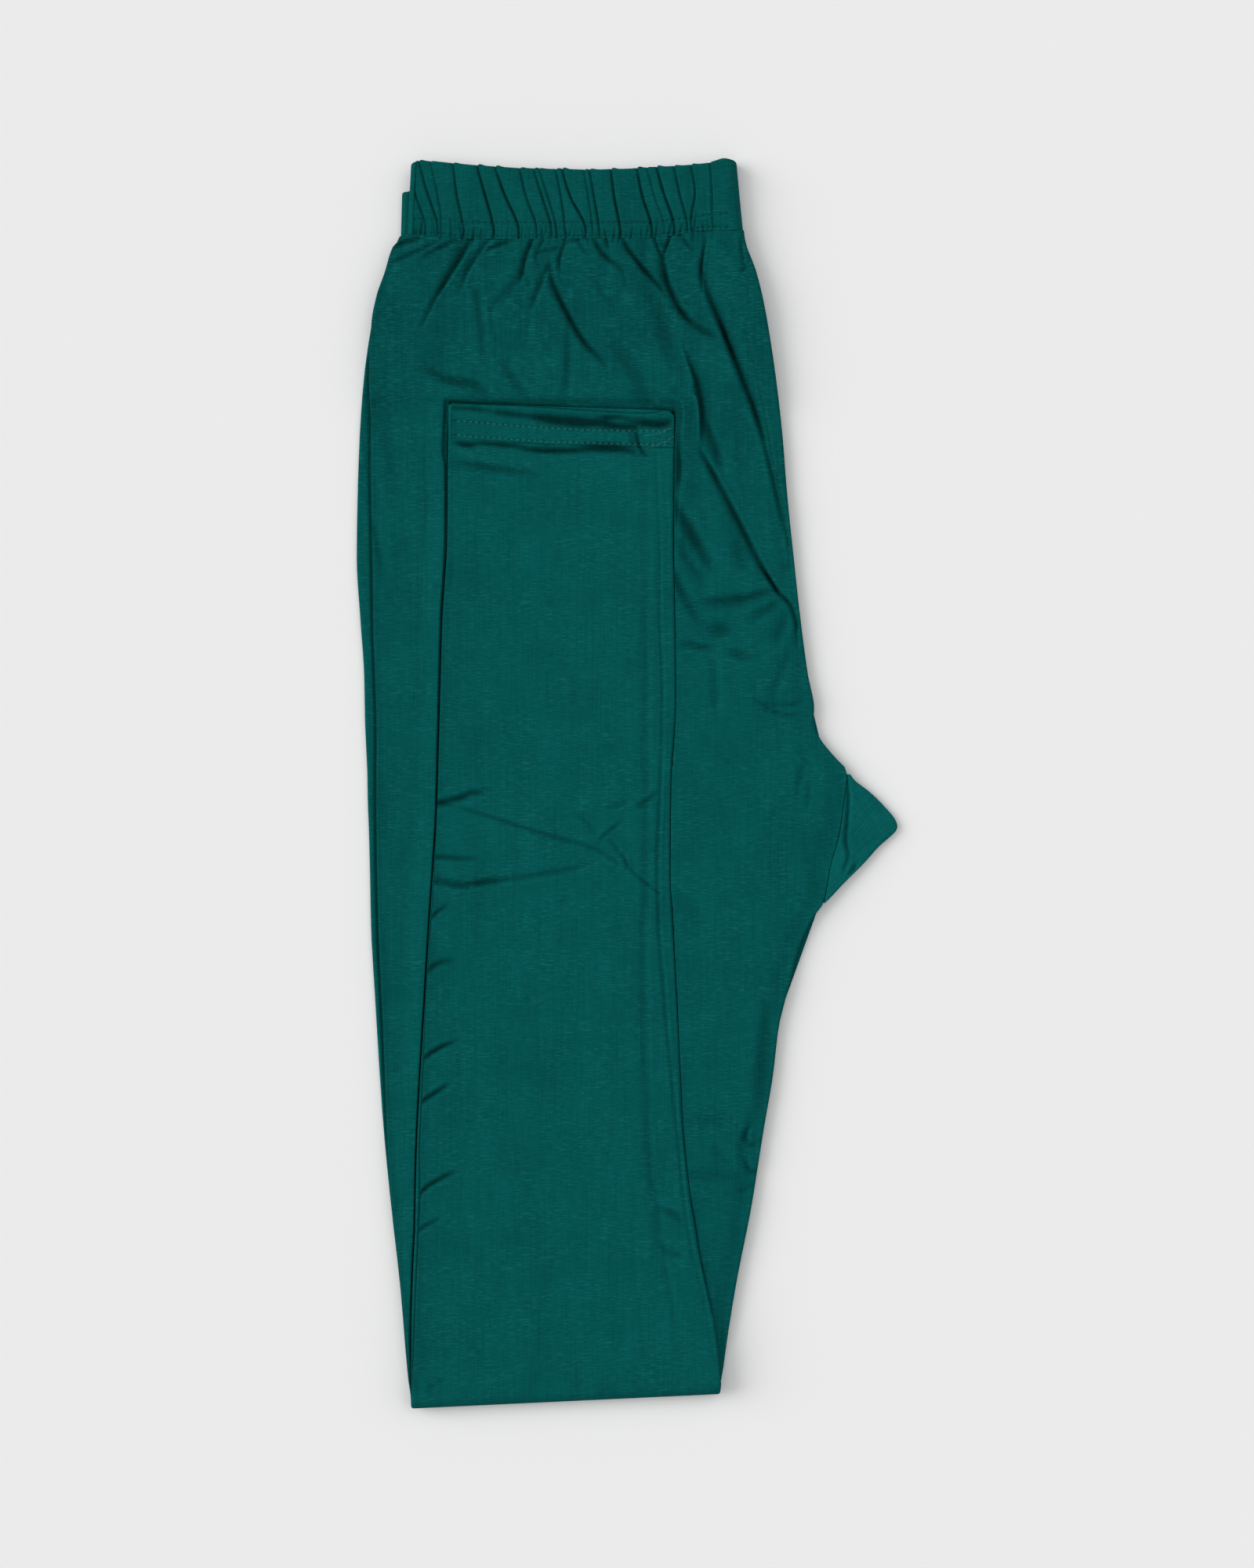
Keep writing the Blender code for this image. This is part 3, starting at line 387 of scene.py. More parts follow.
STRIP_CREASES = creases(
    (3.0, 3.0, 0.5, 0.2, (22.0, -49.3), (29.9, -58.5), (39.1, -68.0)),
    (3.2, 2.6, 0.9, 0.3, 0.2, (61.2, -95.2), (59.5, -119.0), (57.6, -144.5)),
    (1.0, 1.2, 1.6, 0.3, 0.2, (54.4, -147.0), (51.6, -151.4), (51.7, -154.2), (54.6, -156.3),
     (59.6, -154.6)),
    (1.9, 2.0, 0.9, (50.2, -150.6), (50.3, -158.0), (51.0, -165.0)),
    (0.9, 1.1, 1.8, 0.3, 0.2, (51.2, -163.6), (53.4, -167.9), (58.4, -168.5)),
    (0.8, 1.0, 0.9, (45.0, -176.9), (50.7, -176.1), (56.6, -173.0)),
    (2.4, 2.8, 0.6, 0.2, (26.5, -170.0), (39.8, -169.4), (53.4, -170.6)),
    (2.2, 2.4, 0.5, 0.2, 0.1, (35.7, -156.4), (41.0, -161.0), (47.6, -166.6)),
    (2.6, 2.8, 0.5, (28.6, -146.2), (38.0, -145.0), (47.6, -145.4)),
)
SHIN_CREASES = creases(
    (1.2, 1.7, 1.25, 0.3, (-88.5, -9.0), (-82.0, -8.2), (-72.8, -6.1), (-67.3, -4.1),
     (-60.5, -2.7)),
    (0.7, 1.0, 0.8, 0.3, 0.2, (-84.0, -7.0), (-58.5, -14.3), (-39.1, -20.7), (-16.3, -27.2),
     (-7.5, -31.6), (0.0, -36.0)),
    (0.6, 0.8, 0.75, 0.3, 0.2, (-1.4, -30.6), (0.7, -35.7), (7.5, -42.2), (16.7, -49.0)),
    (0.7, 0.8, 0.5, 0.2, (-7.1, -23.8), (-1.4, -32.0), (0.7, -36.0)),
    (0.8, 0.9, 0.55, 0.3, 0.2, (-12.2, -25.2), (-8.5, -21.1), (-1.0, -15.6)),
    (0.9, 1.1, 0.65, 0.3, 0.2, (5.1, -8.2), (9.5, -6.5), (13.6, -3.1)),
    (1.0, 1.0, 0.7, (4.1, -10.2), (6.8, -9.5), (9.5, -9.9)),
    (1.0, 1.1, 0.5, 0.2, 0.1, (-9.5, -10.9), (-5.1, -9.5), (0.7, -7.8)),
    (1.0, 1.0, 0.4, (-23.8, -12.9), (-18.7, -15.3), (-13.6, -21.1)),
    (1.0, 1.1, 0.9, 0.2, (-89.5, -31.0), (-71.4, -32.3), (-63.9, -32.3)),
    (2.4, 1.2, 1.0, 0.1, 0.4, (-90.0, -41.0), (-77.5, -43.5), (-70.7, -44.2), (-52.7, -41.5)),
    (1.2, 1.4, 0.6, 0.2, (-68.0, -43.2), (-52.7, -41.5), (-27.2, -37.4), (-14.6, -33.7)),
    (0.7, 0.8, 1.2, 0.2, (-87.0, -60.0), (-81.3, -54.7), (-77.2, -52.4)),
    (1.0, 1.4, 1.0, 0.2, 0.3, (-89.0, -82.5), (-81.3, -77.4), (-74.5, -76.2)),
    (0.8, 1.2, 1.5, 0.2, 0.4, (-90.0, -120.0), (-80.9, -113.9), (-73.5, -111.0)),
    (0.8, 1.2, 1.4, 0.2, 0.3, (-92.0, -139.2), (-82.6, -133.3), (-77.0, -129.6)),
    (0.8, 1.1, 1.4, 0.2, 0.4, (-92.5, -180.5), (-86.7, -174.4), (-78.2, -169.3), (-73.8, -167.3)),
    (0.8, 1.0, 0.9, 0.2, 0.3, (-94.0, -195.4), (-86.0, -190.4), (-81.0, -188.0)),
    (0.7, 0.8, 0.5, 0.2, (-92.1, -264.9), (-85.7, -261.1), (-77.9, -256.0)),
    (2.0, 2.0, -0.5, (-83.3, -58.5), (-77.5, -66.3), (-74.8, -73.1)),
    (2.2, 2.2, -0.4, (-5.1, -57.8), (4.1, -60.9), (13.6, -63.6)),
    (1.4, 1.7, 0.7, (13.6, -183.6), (18.7, -185.3), (22.1, -187.3), (23.5, -191.1)),
    (1.4, 1.7, 0.6, (14.3, -200.6), (19.0, -202.6), (23.8, -204.0)),
    (1.6, 2.2, 0.8, (-76.5, 139.4), (-60.5, 137.0), (-39.4, 134.0)),
)
# The far hem sinks behind its edge, and the cloth dips again where the hem meets the shin.
SEAM_CREASES = creases(
    (1.1, 1.2, 1.6, (-74.1, 147.6), (-70.4, 146.9), (-65.6, 146.5)),
    (0.9, 1.1, 1.3, (-67.0, 146.9), (-59.5, 147.2), (-43.2, 145.5)),
    (1.1, 1.3, 1.8, (-46.2, 145.2), (-37.4, 144.4), (-19.7, 144.1)),
    (1.9, 1.7, 1.7, (-22.4, 144.4), (-15.3, 145.1), (-6.8, 145.1), (0.3, 144.4), (4.8, 142.4)),
    (0.8, 0.8, 1.3, (3.4, 154.5), (4.4, 151.0), (5.1, 147.2), (7.1, 143.2), (9.9, 141.4)),
    (1.6, 1.8, 0.8, (2.0, 152.5), (3.0, 149.0), (3.4, 146.0)),
)
HEM_CREASES = creases(
    (1.1, 1.2, 0.9, (-75.8, 162.5), (-68.0, 162.2), (-60.5, 161.2)),
    (1.1, 1.3, 1.1, (-61.9, 161.2), (-43.5, 159.1), (-34.0, 158.4)),
    (1.8, 2.2, 2.3, (-39.4, 158.3), (-19.7, 156.6), (-7.5, 156.2)),
    (1.3, 1.3, 1.1, (-12.2, 158.1), (-5.1, 158.4), (2.0, 157.8)),
    (1.4, 1.6, 1.3, (0.0, 157.1), (8.2, 156.4), (14.6, 156.1), (20.4, 157.4)),
    (1.6, 1.7, 1.6, (-11.0, 155.4), (-1.0, 154.5), (6.0, 154.6)),
    (2.2, 1.2, 0.8, (6.0, 155.4), (13.0, 154.6), (20.0, 154.8)),
)
# The inseam, rolled in on the shin, and the edge of the leg inside that shows through.
INSEAM = Crease(0.7, 0.7, 0.75, 0.35, 0.1, (
    (12.6, 142.8), (14.3, 105.4), (14.3, 71.4), (15.4, 37.4), (14.6, 0.0), (13.3, -34.0),
    (13.9, -61.2), (15.6, -85.0), (18.7, -119.0), (22.1, -153.0), (24.5, -178.5), (27.9, -200.6),
    (32.3, -217.6), (37.0, -243.1), (39.4, -261.8)))
INNER_EDGE = Crease(1.3, 2.2, 0.65, 0.1, 0.15, (
    (8.5, 142.0), (8.5, 105.4), (8.5, 34.0), (8.5, -42.5), (7.5, -85.0), (8.5, -119.0),
    (9.2, -144.5), (10.9, -170.0), (13.6, -183.6), (15.3, -200.6), (20.4, -226.1), (23.8, -246.5),
    (28.9, -261.8)))

# The steeper a crease is, the sharper its trough. Its shoulders lie a little more than two
# widths out, and it tapers off at both ends of its line.
CURVE_STEPS = 5
STEEPNESS = (0.3, 1.0)
ROUNDNESS = (2.0, 1.3)
SHOULDER_PLACE = 2.2
SHOULDER_SPREAD = 1.2
CREASE_REACH = 4.5
CREASE_END = 0.02

# The crotch gusset is sewn on with a hair's gap. The leg's edge is a sharp corner there.
GUSSET_SEAM_GAP = 0.12
SEAM_CORNER = 0.2
SEAM_CORNER_FROM = -52.0
SEAM_CORNER_TO = 5.0
SEAM_CORNER_FADE = 5.0
GUSSET_CREASES = creases(
    (0.8, 0.8, 1.6, 0.2, 0.3, (95.2, 4.8), (96.2, -6.8), (95.2, -20.4), (95.2, -26.5),
     (96.2, -30.9), (94.2, -38.4)),
    (1.6, 1.6, 0.3, (98.9, -3.1), (104.0, -11.9), (108.1, -19.0)),
    (0.7, 0.8, 1.1, (100.0, -34.3), (98.3, -37.1), (95.9, -40.1)),
)
CROTCH_SEAM_LINE = (
    (50.3, 232.0), (50.6, 210.5), (53.4, 189.7), (56.1, 178.5), (60.9, 156.4), (62.9, 143.1),
    (65.6, 132.6), (68.0, 119.0), (69.4, 110.5), (73.4, 71.4), (74.8, 49.3))
CROTCH_SEAM = Crease(0.6, 0.6, 0.35, 0.12, 0.12, CROTCH_SEAM_LINE)
UNDER_CREASES = creases(
    (3.0, 3.0, 0.45, 0.0, (-92.0, 226.0), (-78.0, 206.0), (-66.0, 180.0)),
    (2.6, 2.6, 0.5, 0.0, (-44.0, 228.0), (-38.0, 204.0), (-26.0, 184.0)),
    (3.0, 3.0, 0.5, 0.0, (2.0, 230.0), (10.0, 208.0), (26.0, 182.0)),
    (2.8, 2.8, 0.45, 0.0, (34.0, 228.0), (40.0, 196.0), (52.0, 160.0)),
    (3.2, 3.2, 0.4, 0.0, (-96.0, 60.0), (-60.0, 52.0), (-30.0, 56.0)),
    (3.0, 3.0, 0.4, 0.0, (20.0, 96.0), (40.0, 72.0), (66.0, 60.0)),
    (3.2, 3.2, 0.35, 0.0, (-80.0, -60.0), (-40.0, -72.0), (0.0, -66.0)),
    (3.0, 3.0, 0.35, 0.0, (10.0, -150.0), (30.0, -146.0), (48.0, -152.0)),
)

# The casing's top wall lies a little lower at the seam than above it. The lower stitch row runs
# just above the seam.
BAND_TOP_Z = 10.1
SEAM_TOP_Z = 9.3
LOWER_ROW_RISE = 1.1
BAND_LOWER_ROW = tuple((x, y + LOWER_ROW_RISE) for x, y in BAND_SEAM)

# Puckers run across the seam. The spans say how far one reaches above the upper row and below
# the seam, how it leans and how deep it is.
PUCKER_SEED = 11
PUCKER_FROM = -91.0
PUCKER_SPANS = (-2.5, 1.2), (1.0, 6.5), (-1.7, 1.7), (0.25, 0.85)
PUCKER_STEP = 2.3, 6.2
PUCKER_WALLS = 0.38, 0.5
PUCKER_LIFTS = 0.12, 0.1

# The wall that lies on the surface has the same gathers, as deep by this share.
UNDER_GATHER = 0.5

# Soft unevenness: the height, the size and the seed of each wave. The waves below the casing
# are drawn out along the leg and fade out down it.
THIGH_WAVES = (0.30, 19.0, 3), (0.14, 8.0, 4)
SHIN_WAVES = (0.22, 21.0, 5), (0.10, 9.0, 6)
BAND_WAVES = ((0.14, 7.0, 8),)
HEM_WAVES = ((0.1, 6.0, 10),)
HIP_WAVES = ((0.8, 4.5, 13),)
WAVE_LENGTHENING = 0.2
WAVE_REACH = 36.0
NOISE_CELLS = 64
NOISE_SHIFT = 17.0, 29.0

# The pile of shins presses a groove into the thigh on each side of it. Each is as wide and as
# deep as its row says, and its outer wall is steep.
Groove = namedtuple("Groove", "y left_reach left_depth right_reach right_depth")
GROOVES = (
    Groove(-262.0, 0.6, 0.2, 0.6, 0.0),
    Groove(-120.0, 0.7, 0.5, 0.7, 0.0),
    Groove(0.0, 0.9, 0.7, 0.9, 0.0),
    Groove(90.0, 1.1, 0.9, 1.4, 0.1),
    Groove(120.0, 1.2, 1.0, 2.2, 0.8),
    Groove(138.0, 1.4, 1.1, 3.2, 0.9),
    Groove(144.0, 2.5, 1.3, 2.6, 0.8),
    Groove(160.0, 2.5, 1.3, 3.4, 1.0),
    Groove(168.0, 2.5, 1.3, 1.6, 0.5),
)
GROOVE_WALL = 0.9
GROOVE_END = 3.0

# The far thigh sinks a little under the near leg's left edge.
UNDER_EDGE_REACH = 1.0
UNDER_EDGE_DIP = 0.8

# A stitch row draws the cloth in. It dips most at each needle hole, and less between two. A hem
# is raised in a lip at its edge, and never sinks below HEM_DEEPEST.
NEEDLE_WIDTH = 0.42
NEEDLE_MEAN = 0.65
NEEDLE_SWING = 0.35
HEM_NEEDLE_DIP = 0.5
BAND_NEEDLE_DIP = 0.8
HEM_LIP = 0.35
HEM_LIP_PLACE = 0.9
HEM_LIP_WIDTH = 0.8
HEM_DEEPEST = -1.05

# Sewing. Each row: its line, pitch, stitch length and width, and the reach of x it keeps to.
STITCH_SEED = 23
STITCH_PITCH = 2.55
STITCH_TURN = 0.12
STITCH_LENGTHS = 0.8, 1.15
STITCH_DRIFT = 0.08
STITCH_FLATNESS = 0.8
STITCH_SEGMENTS = 8, 6
HEM_STITCHES = (
    (FAR_HEM_UPPER_ROW, STITCH_PITCH, 1.9, 0.40, -74.6, 18.5),
    (FAR_HEM_LOWER_ROW, STITCH_PITCH, 1.4, 0.42, -74.6, 18.0),
    (((7.1, 150.6), (11.2, 151.0), (14.6, 152.0), (17.0, 153.3), (20.2, 153.7)), 2.1, 2.3, 0.34,
     7.0, 20.0),
    (((8.2, 145.2), (11.2, 145.9), (14.3, 147.2), (17.2, 148.0)), 2.0, 2.2, 0.32, 8.0, 17.0),
    (((17.8, 148.6), (19.6, 149.9), (20.8, 151.0)), 1.6, 1.8, 0.3, 17.0, 20.6),
)
BAND_STITCHES = (
    (BAND_UPPER_ROW, STITCH_PITCH, 1.3, 0.34, -91.0, 42.0),
    (BAND_LOWER_ROW, STITCH_PITCH, 1.2, 0.34, -91.0, 42.0),
    (((31.0, 247.0), (36.0, 247.6), (42.0, 248.2)), 1.9, 1.5, 0.36, 30.0, 42.5),
    (((31.0, 239.6), (36.0, 239.9), (42.0, 240.6)), 1.9, 1.5, 0.36, 30.0, 42.5),
)
CROTCH_STITCHES = ((CROTCH_SEAM_LINE, 3.1, 0.9, 0.34, 50.0, 76.0),)

# The mesh. A stretch of rows along a leg has its first and last Y and its count, closer where
# small creases are. A stretch across a leg goes from share to share of its flat side.
NEAR_THIGH_ROWS = ((BAND_SEAM_Y, 160.0, 104), (159.0, 64.0, 68), (62.4, 22.0, 27),
                   (18.0, -60.0, 23), (-67.0, -136.0, 11), (-139.0, -180.0, 22),
                   (-186.0, -256.0, 11))
NEAR_SHIN_ROWS = ((-250.0, HEM_SEAM_Y, 22),)
FAR_THIGH_ROWS = (BAND_SEAM_Y, 104.0, 15), (98.0, -60.0, 42), (-68.0, -256.0, 16)
FAR_SHIN_ROWS = ((-258.0, -199.0, 24), (-197.0, -165.0, 34), (-162.5, -142.0, 9),
                 (-140.0, -108.0, 34), (-105.5, -87.0, 8), (-85.0, -49.5, 30),
                 (-48.5, 2.0, 58), (3.8, 123.0, 64), (124.5, HEM_SEAM_Y, 46))
NEAR_OUTER_SHARES = (0.0, 0.03, 9), (0.05, 1.0, 14)
FAR_OUTER_SHARES = ((0.0, 1.0, 156),)
FAR_INNER_SHARES = (0.0, 0.035, 14), (0.06, 1.0, 15)
LEG_EDGE_STEPS = 9
INNER_STEP = 6
WELD = 1e-7

# No row of a leg is thinner than its two cloths and a little air, nor turned inside out.
LEAST_AIR = 0.15
LEAST_INSIDE = 0.1

# The near thigh's columns crowd towards its deep folds, and thin out under the shins.
NEAR_LEG_COLUMNS = 232
NEED_SAMPLES = 4
CROWD = 1.6
CROWD_WIDTH = 2.4
CROWD_END = 6.0
EDGE_CROWD = 1.4
EDGE_CROWD_WIDTH = 2.0
COVERED_THINNING = 0.8
COVERED_FROM = 12.0

# Counts round the casing: its near, its far and each inner wall, its wide bend and its tight
# ones, as tight as the hems'. Then those of a hem's walls, the rows up a wall, and the turns
# over a free edge.
BAND_COLUMNS = 520, 120, 40
WIDE_BEND = 16
TIGHT_BEND = 8
HEM_COLUMNS = {"far": 260, "near": 60}
BAND_ROWS = 56
HEM_ROWS = 36
EDGE_TURN = np.radians((30.0, 60.0, 90.0, 120.0, 150.0))

# The gusset: its rows and columns, the lip round its free edge, at most a share of its width,
# its least width, how far the slit between its two cloths reaches back in the lip, how much
# sparser its underside is, and the turn of its knit in degrees.
GUSSET_ROWS = 90
GUSSET_COLUMNS = 40
GUSSET_LIP = 1.2
GUSSET_LIP_SHARE = 0.3
GUSSET_LEAST = 0.2
GUSSET_SLIT = 0.8
GUSSET_UNDER_STEP = 4
GUSSET_BIAS = 45.0

# Painted shade: creases are painted darker than their relief alone shades them, and this dip, in
# millimetres, takes the full painted shade. Beside the edge of a layer that lies on another one a
# dark line of shade is painted, and a strip along a left edge is painted darker.
PAINTED_SHADE_FULL_DIP = 2.6
PAINTED_SHADE_MOST = 1.2
SHIN_PAINTED_SHADE = 2.2
BAND_PAINTED_SHADE = 1.2
EDGE_SHADE = 0.28
EDGE_REACH = 4.0
SIDE_SHADE = 0.06
SIDE_REACH = 40.0
# Painted contact shade: how far the dark line beside a layer's edge reaches, and how dark it is
# painted on the left of the shins, above them, on the far thigh and on the near hem.
CONTACT_SHADE_REACH = 1.3
LEFT_CONTACT_SHADE = 0.9
TOP_CONTACT_SHADE = 0.1
FAR_CONTACT_SHADE = 0.3
HEM_CONTACT_SHADE = 0.7

# Cloth and thread: linear colours, how much each pattern of the knit changes their tone, and how
# far it stands out, in metres.
TEAL = (0.0011, 0.0835, 0.0797, 1.0)
TEAL_BAND = (0.0012, 0.0770, 0.0722, 1.0)
TEAL_GUSSET = (0.0020, 0.1040, 0.1005, 1.0)
SLUB_TEAL = (0.0048, 0.1330, 0.1265, 1.0)
PALE_THREAD = (0.0240, 0.1450, 0.1260, 1.0)
TEAL_THREAD = (0.0090, 0.1100, 0.0960, 1.0)
CLOTH_ROUGHNESS, CLOTH_SHINE = 0.9, 0.02
THREAD_ROUGHNESS, THREAD_SHINE = 0.6, 0.2
COURSE_TONE = 0.45
WALE_TONE = 0.25
RIB_TONE = 0.24
BLOTCH_TONE = 0.22
# Painted shade near the casing: the share by which the leg cloth is darkened at the casing, easing
# off over this reach along the leg, in metres.
CASING_PAINTED_SHADE = 0.16
CASING_SHADE_REACH = 0.15
# How much the full painted shade darkens the cloth's colour.
PAINTED_SHADE_TONE = 0.62
SLUB_HEIGHT = 0.00005
COURSE_HEIGHT = 0.00006
WALE_HEIGHT = 0.00004

# Patterns of the knit: a spot's size across and along the leg in metres, detail and seed. Slubs
# and their patches come in as the noise rises from its lower bound to its upper one.
SHORT_SLUBS, SHORT_BOUNDS = (0.0034, 0.00036, 1.0, 1), (0.51, 0.79)
LONG_SLUBS, LONG_BOUNDS = (0.0085, 0.00042, 1.0, 2), (0.57, 0.78)
SLUB_PATCHES, PATCH_BOUNDS = (0.030, 0.012, 2.0, 3), (0.10, 0.70)
COURSES = 0.0050, 0.00055, 2.0, 4
WALES = 0.00060, 0.0300, 1.0, 5
RIBS = 0.0012, 0.0200, 1.0, 7
BLOTCHES = (0.012, 0.050, 2.0, 6), (0.030, 0.020, 2.0, 6)
PATTERN_ROUGHNESS = 0.6
PATTERN_SHIFT = 7.3, 3.1
JERSEY_SOCKETS = (
    ("Knit Map", "INPUT", "Vector"),
    ("Cloth Colour", "INPUT", "Color"),
    ("Slub Colour", "INPUT", "Color"),
    ("Slubs", "INPUT", "Float"),
    ("Grain", "INPUT", "Float"),
    ("Gathered", "INPUT", "Float"),
    ("Hollow", "INPUT", "Float"),
    ("Base Color", "OUTPUT", "Color"),
    ("Bump Height", "OUTPUT", "Float"),
)

# The floor, and each lamp's strength, softness in degrees and the direction it shines from. The
# camera looks straight down, from where its view is VIEW_SIZE metres long at the cloth.
FLOOR_SIZE = 6.0
FLOOR_GAP = 0.0001
FLOOR_SHADE = 0.9
LAMPS = {
    "key": (1.75, 45.0, (-0.82, 0.20, 0.53)),
    "fill": (0.48, 60.0, (0.75, 0.3, 0.8)),
    "top": (0.78, 80.0, (-0.1, 0.15, 1.0)),
}
SKY_STRENGTH = 0.275
CAMERA_LENS = 85.0
CAMERA_SENSOR = 36.0
VIEW_SIZE = 0.68
FOCUS_HEIGHT = 0.006


def smooth(places, values, where):
    """The curve through the rows, at each place in where. It never swings past a row."""
    places = np.asarray(places, float)
    values = np.asarray(values, float)
    rises = np.diff(values) / np.diff(places)
    before, after = rises[:-1], rises[1:]
    same_way = before * after > 0
    total = np.where(same_way, before + after, 1.0)
    middle = np.where(same_way, 2 * before * after / total, 0.0)
    slopes = np.concatenate(([rises[0]], middle, [rises[-1]]))
    where = np.clip(where, places[0], places[-1])
    row = np.clip(np.searchsorted(places, where) - 1, 0, len(places) - 2)
    step = places[row + 1] - places[row]
    t = (where - places[row]) / step
    return bent(t, values[row], values[row + 1], step * slopes[row], step * slopes[row + 1])


def bent(t, start, end, start_slope, end_slope):
    """From start at t 0 to end at t 1, along the curve that has these slopes there."""
    return ((1 + 2 * t) * (1 - t) ** 2 * start + t * (1 - t) ** 2 * start_slope
            + t**2 * (3 - 2 * t) * end - t**2 * (1 - t) * end_slope)


def column(table, name, y):
    """A named column of a table, read smoothly at y."""
    return smooth([row.y for row in table], [getattr(row, name) for row in table], y)


def across(line, x):
    """The Y of a line of places at x."""
    return smooth(*zip(*line), x)


def fade(amount):
    """1 at amount 0 and below, easing down to 0 at amount 1 and above."""
    amount = np.clip(amount, 0.0, 1.0)
    return 1 - amount * amount * (3 - 2 * amount)


def bell(distance, width):
    """1 at distance 0, falling off on both sides over about a width."""
    return np.exp(-((distance / width) ** 2))


def uneven(x, y, waves):
    """Soft waves, each as high as its row says, about as long as its size, the same on each run."""
    return sum(height * soft_noise(x, y, size, seed) for height, size, seed in waves)


def soft_noise(x, y, size, seed):
    """Smooth waves between -1 and 1."""
    table = np.random.default_rng(seed).uniform(-1, 1, (NOISE_CELLS, NOISE_CELLS))
    u, v = x / size + NOISE_SHIFT[0], y / size + NOISE_SHIFT[1]
    i, j = np.floor(u).astype(int), np.floor(v).astype(int)
    s, t = 1 - fade(u - i), 1 - fade(v - j)

    def at(a, b):
        return table[(i + a) % NOISE_CELLS, (j + b) % NOISE_CELLS]

    low = at(0, 0) * (1 - s) + at(1, 0) * s
    high = at(0, 1) * (1 - s) + at(1, 1) * s
    return low * (1 - t) + high * t


def curve_through(line):
    """A smooth path through the places of a line."""
    points = np.array(line, float)
    before = np.vstack((2 * points[0] - points[1], points[:-1]))
    after = np.vstack((points[1:], 2 * points[-1] - points[-2]))
    slopes = (after - before) / 2
    path = [points[0]]
    for i in range(len(points) - 1):
        for step in range(1, CURVE_STEPS + 1):
            t = step / CURVE_STEPS
            path.append(bent(t, points[i], points[i + 1], slopes[i], slopes[i + 1]))
    return np.array(path)


def run_along(path):
    """How far along a path each of its places lies."""
    return np.concatenate(([0.0], np.cumsum(np.hypot(*np.diff(path, axis=0).T))))


def nearest(path, x, y):
    """The signed distance from each place to the path, and the place along it, from 0 to 1."""
    best = np.full(x.shape, np.inf)
    side = np.ones(x.shape)
    along = np.zeros(x.shape)
    starts = run_along(path)
    for i, step in enumerate(np.diff(path, axis=0)):
        from_x, from_y = x - path[i][0], y - path[i][1]
        t = np.clip((from_x * step[0] + from_y * step[1]) / (step @ step), 0, 1)
        gap = np.hypot(from_x - t * step[0], from_y - t * step[1])
        closer = gap < best
        best = np.where(closer, gap, best)
        side = np.where(closer, np.sign(step[0] * from_y - step[1] * from_x), side)
        along = np.where(closer, (starts[i] + t * (starts[i + 1] - starts[i])) / starts[-1], along)
    return best * side, along


def crease_height(x, y, lines):
    """How far the cloth dips or rises at each place, summed over the creases."""
    height = np.zeros(x.shape)
    for crease in lines:
        path = curve_through(crease.line)
        reach = CREASE_REACH * max(crease.plus, crease.minus)
        low, high = path.min(0) - reach, path.max(0) + reach
        near = (x > low[0]) & (x < high[0]) & (y > low[1]) & (y < high[1])
        if not near.any():
            continue
        gap, along = nearest(path, x[near], y[near])
        width = np.where(gap > 0, crease.plus, crease.minus)
        lift = np.where(gap > 0, crease.plus_lift, crease.minus_lift)
        away = np.abs(gap) / width
        steepness = crease.depth / (crease.plus + crease.minus)
        trough = np.exp(-(away ** np.interp(steepness, STEEPNESS, ROUNDNESS)))
        shoulder = bell(away - SHOULDER_PLACE, SHOULDER_SPREAD)
        taper = np.sqrt(np.sin(np.pi * np.clip(along, CREASE_END, 1 - CREASE_END)))
        height[near] += taper * (lift * shoulder - crease.depth * trough)
    return height


def thigh_edges(leg, y):
    inset = FAR_RIGHT_INSET if leg == "far" else 0.0
    return column(THIGH, f"{leg}_left", y), column(THIGH, "right", y) - inset


def shin_edges(leg, y):
    inset = NEAR_SHIN_INSET if leg == "near" else 0.0
    return column(SHIN, f"{leg}_left", y), column(SHIN, "far_right", y) - inset


def pile_edges(y):
    """The outer edges of the two shins that lie on each other."""
    left, right = shin_edges("far", y)
    return np.minimum(shin_edges("near", y)[0], left), right


def tilted(x, y):
    """Y moved along the slope of the knee fold, which fades out up the leg."""
    return y + FOLD_SLOPE * (x - FOLD_MIDDLE_X) * fade((y - FOLD_Y) / FOLD_FADE)


def joined_to(line, level, reach, x, y):
    """Y moved so that a leg's end at the level follows the seam line."""
    return y + (across(line, x) - level) * fade((level - y) / reach)


def strip_swell(x, y):
    """How far the loose strip swells: it leans on the shins' right edge and falls to its own."""
    shin_right = shin_edges("far", y)[1] - PRESS_TUCK
    right = thigh_edges("near", y)[1]
    rise = 1 - fade((x - shin_right) / STRIP_RISE)
    lean = 1 - STRIP_LEAN * np.clip((x - shin_right) / (right - shin_right), 0, 1)
    fall = fade((x - right + STRIP_FALL) / STRIP_FALL)
    return column(HIP, "strip_swell", y) * rise * lean * fall


def edge_grooves(x, y):
    """The two grooves that the pile of shins presses into the thigh along its edges."""
    left, right = shin_edges("far", y)
    out_left = (left - x - column(GROOVES, "left_reach", y)) / GROOVE_WALL
    out_right = (x - right - column(GROOVES, "right_reach", y)) / GROOVE_WALL
    on_left = column(GROOVES, "left_depth", y) * fade(out_left + 0.5)
    on_right = column(GROOVES, "right_depth", y) * fade(out_right + 0.5)
    return -fade((y - NEAR_HEM_TOP[0][1]) / GROOVE_END) * np.where(x > left, on_right, on_left)


def pucker_lines():
    """The fine puckers that the elastic draws across the two stitch rows, each its own."""
    draw = np.random.default_rng(PUCKER_SEED)
    out = []
    x = PUCKER_FROM
    while x < BAND_SMOOTH_FROM:
        row, seam = (float(across(line, x)) for line in (BAND_UPPER_ROW, BAND_SEAM))
        above, below, lean, depth = (draw.uniform(*span) for span in PUCKER_SPANS)
        line = ((x, row + above), (x + lean * 0.5, (row + seam) / 2), (x + lean, seam),
                (x + lean * 1.6, seam - below))
        out.append(Crease(*PUCKER_WALLS, depth, *PUCKER_LIFTS, line))
        x += draw.uniform(*PUCKER_STEP)
    return tuple(out)


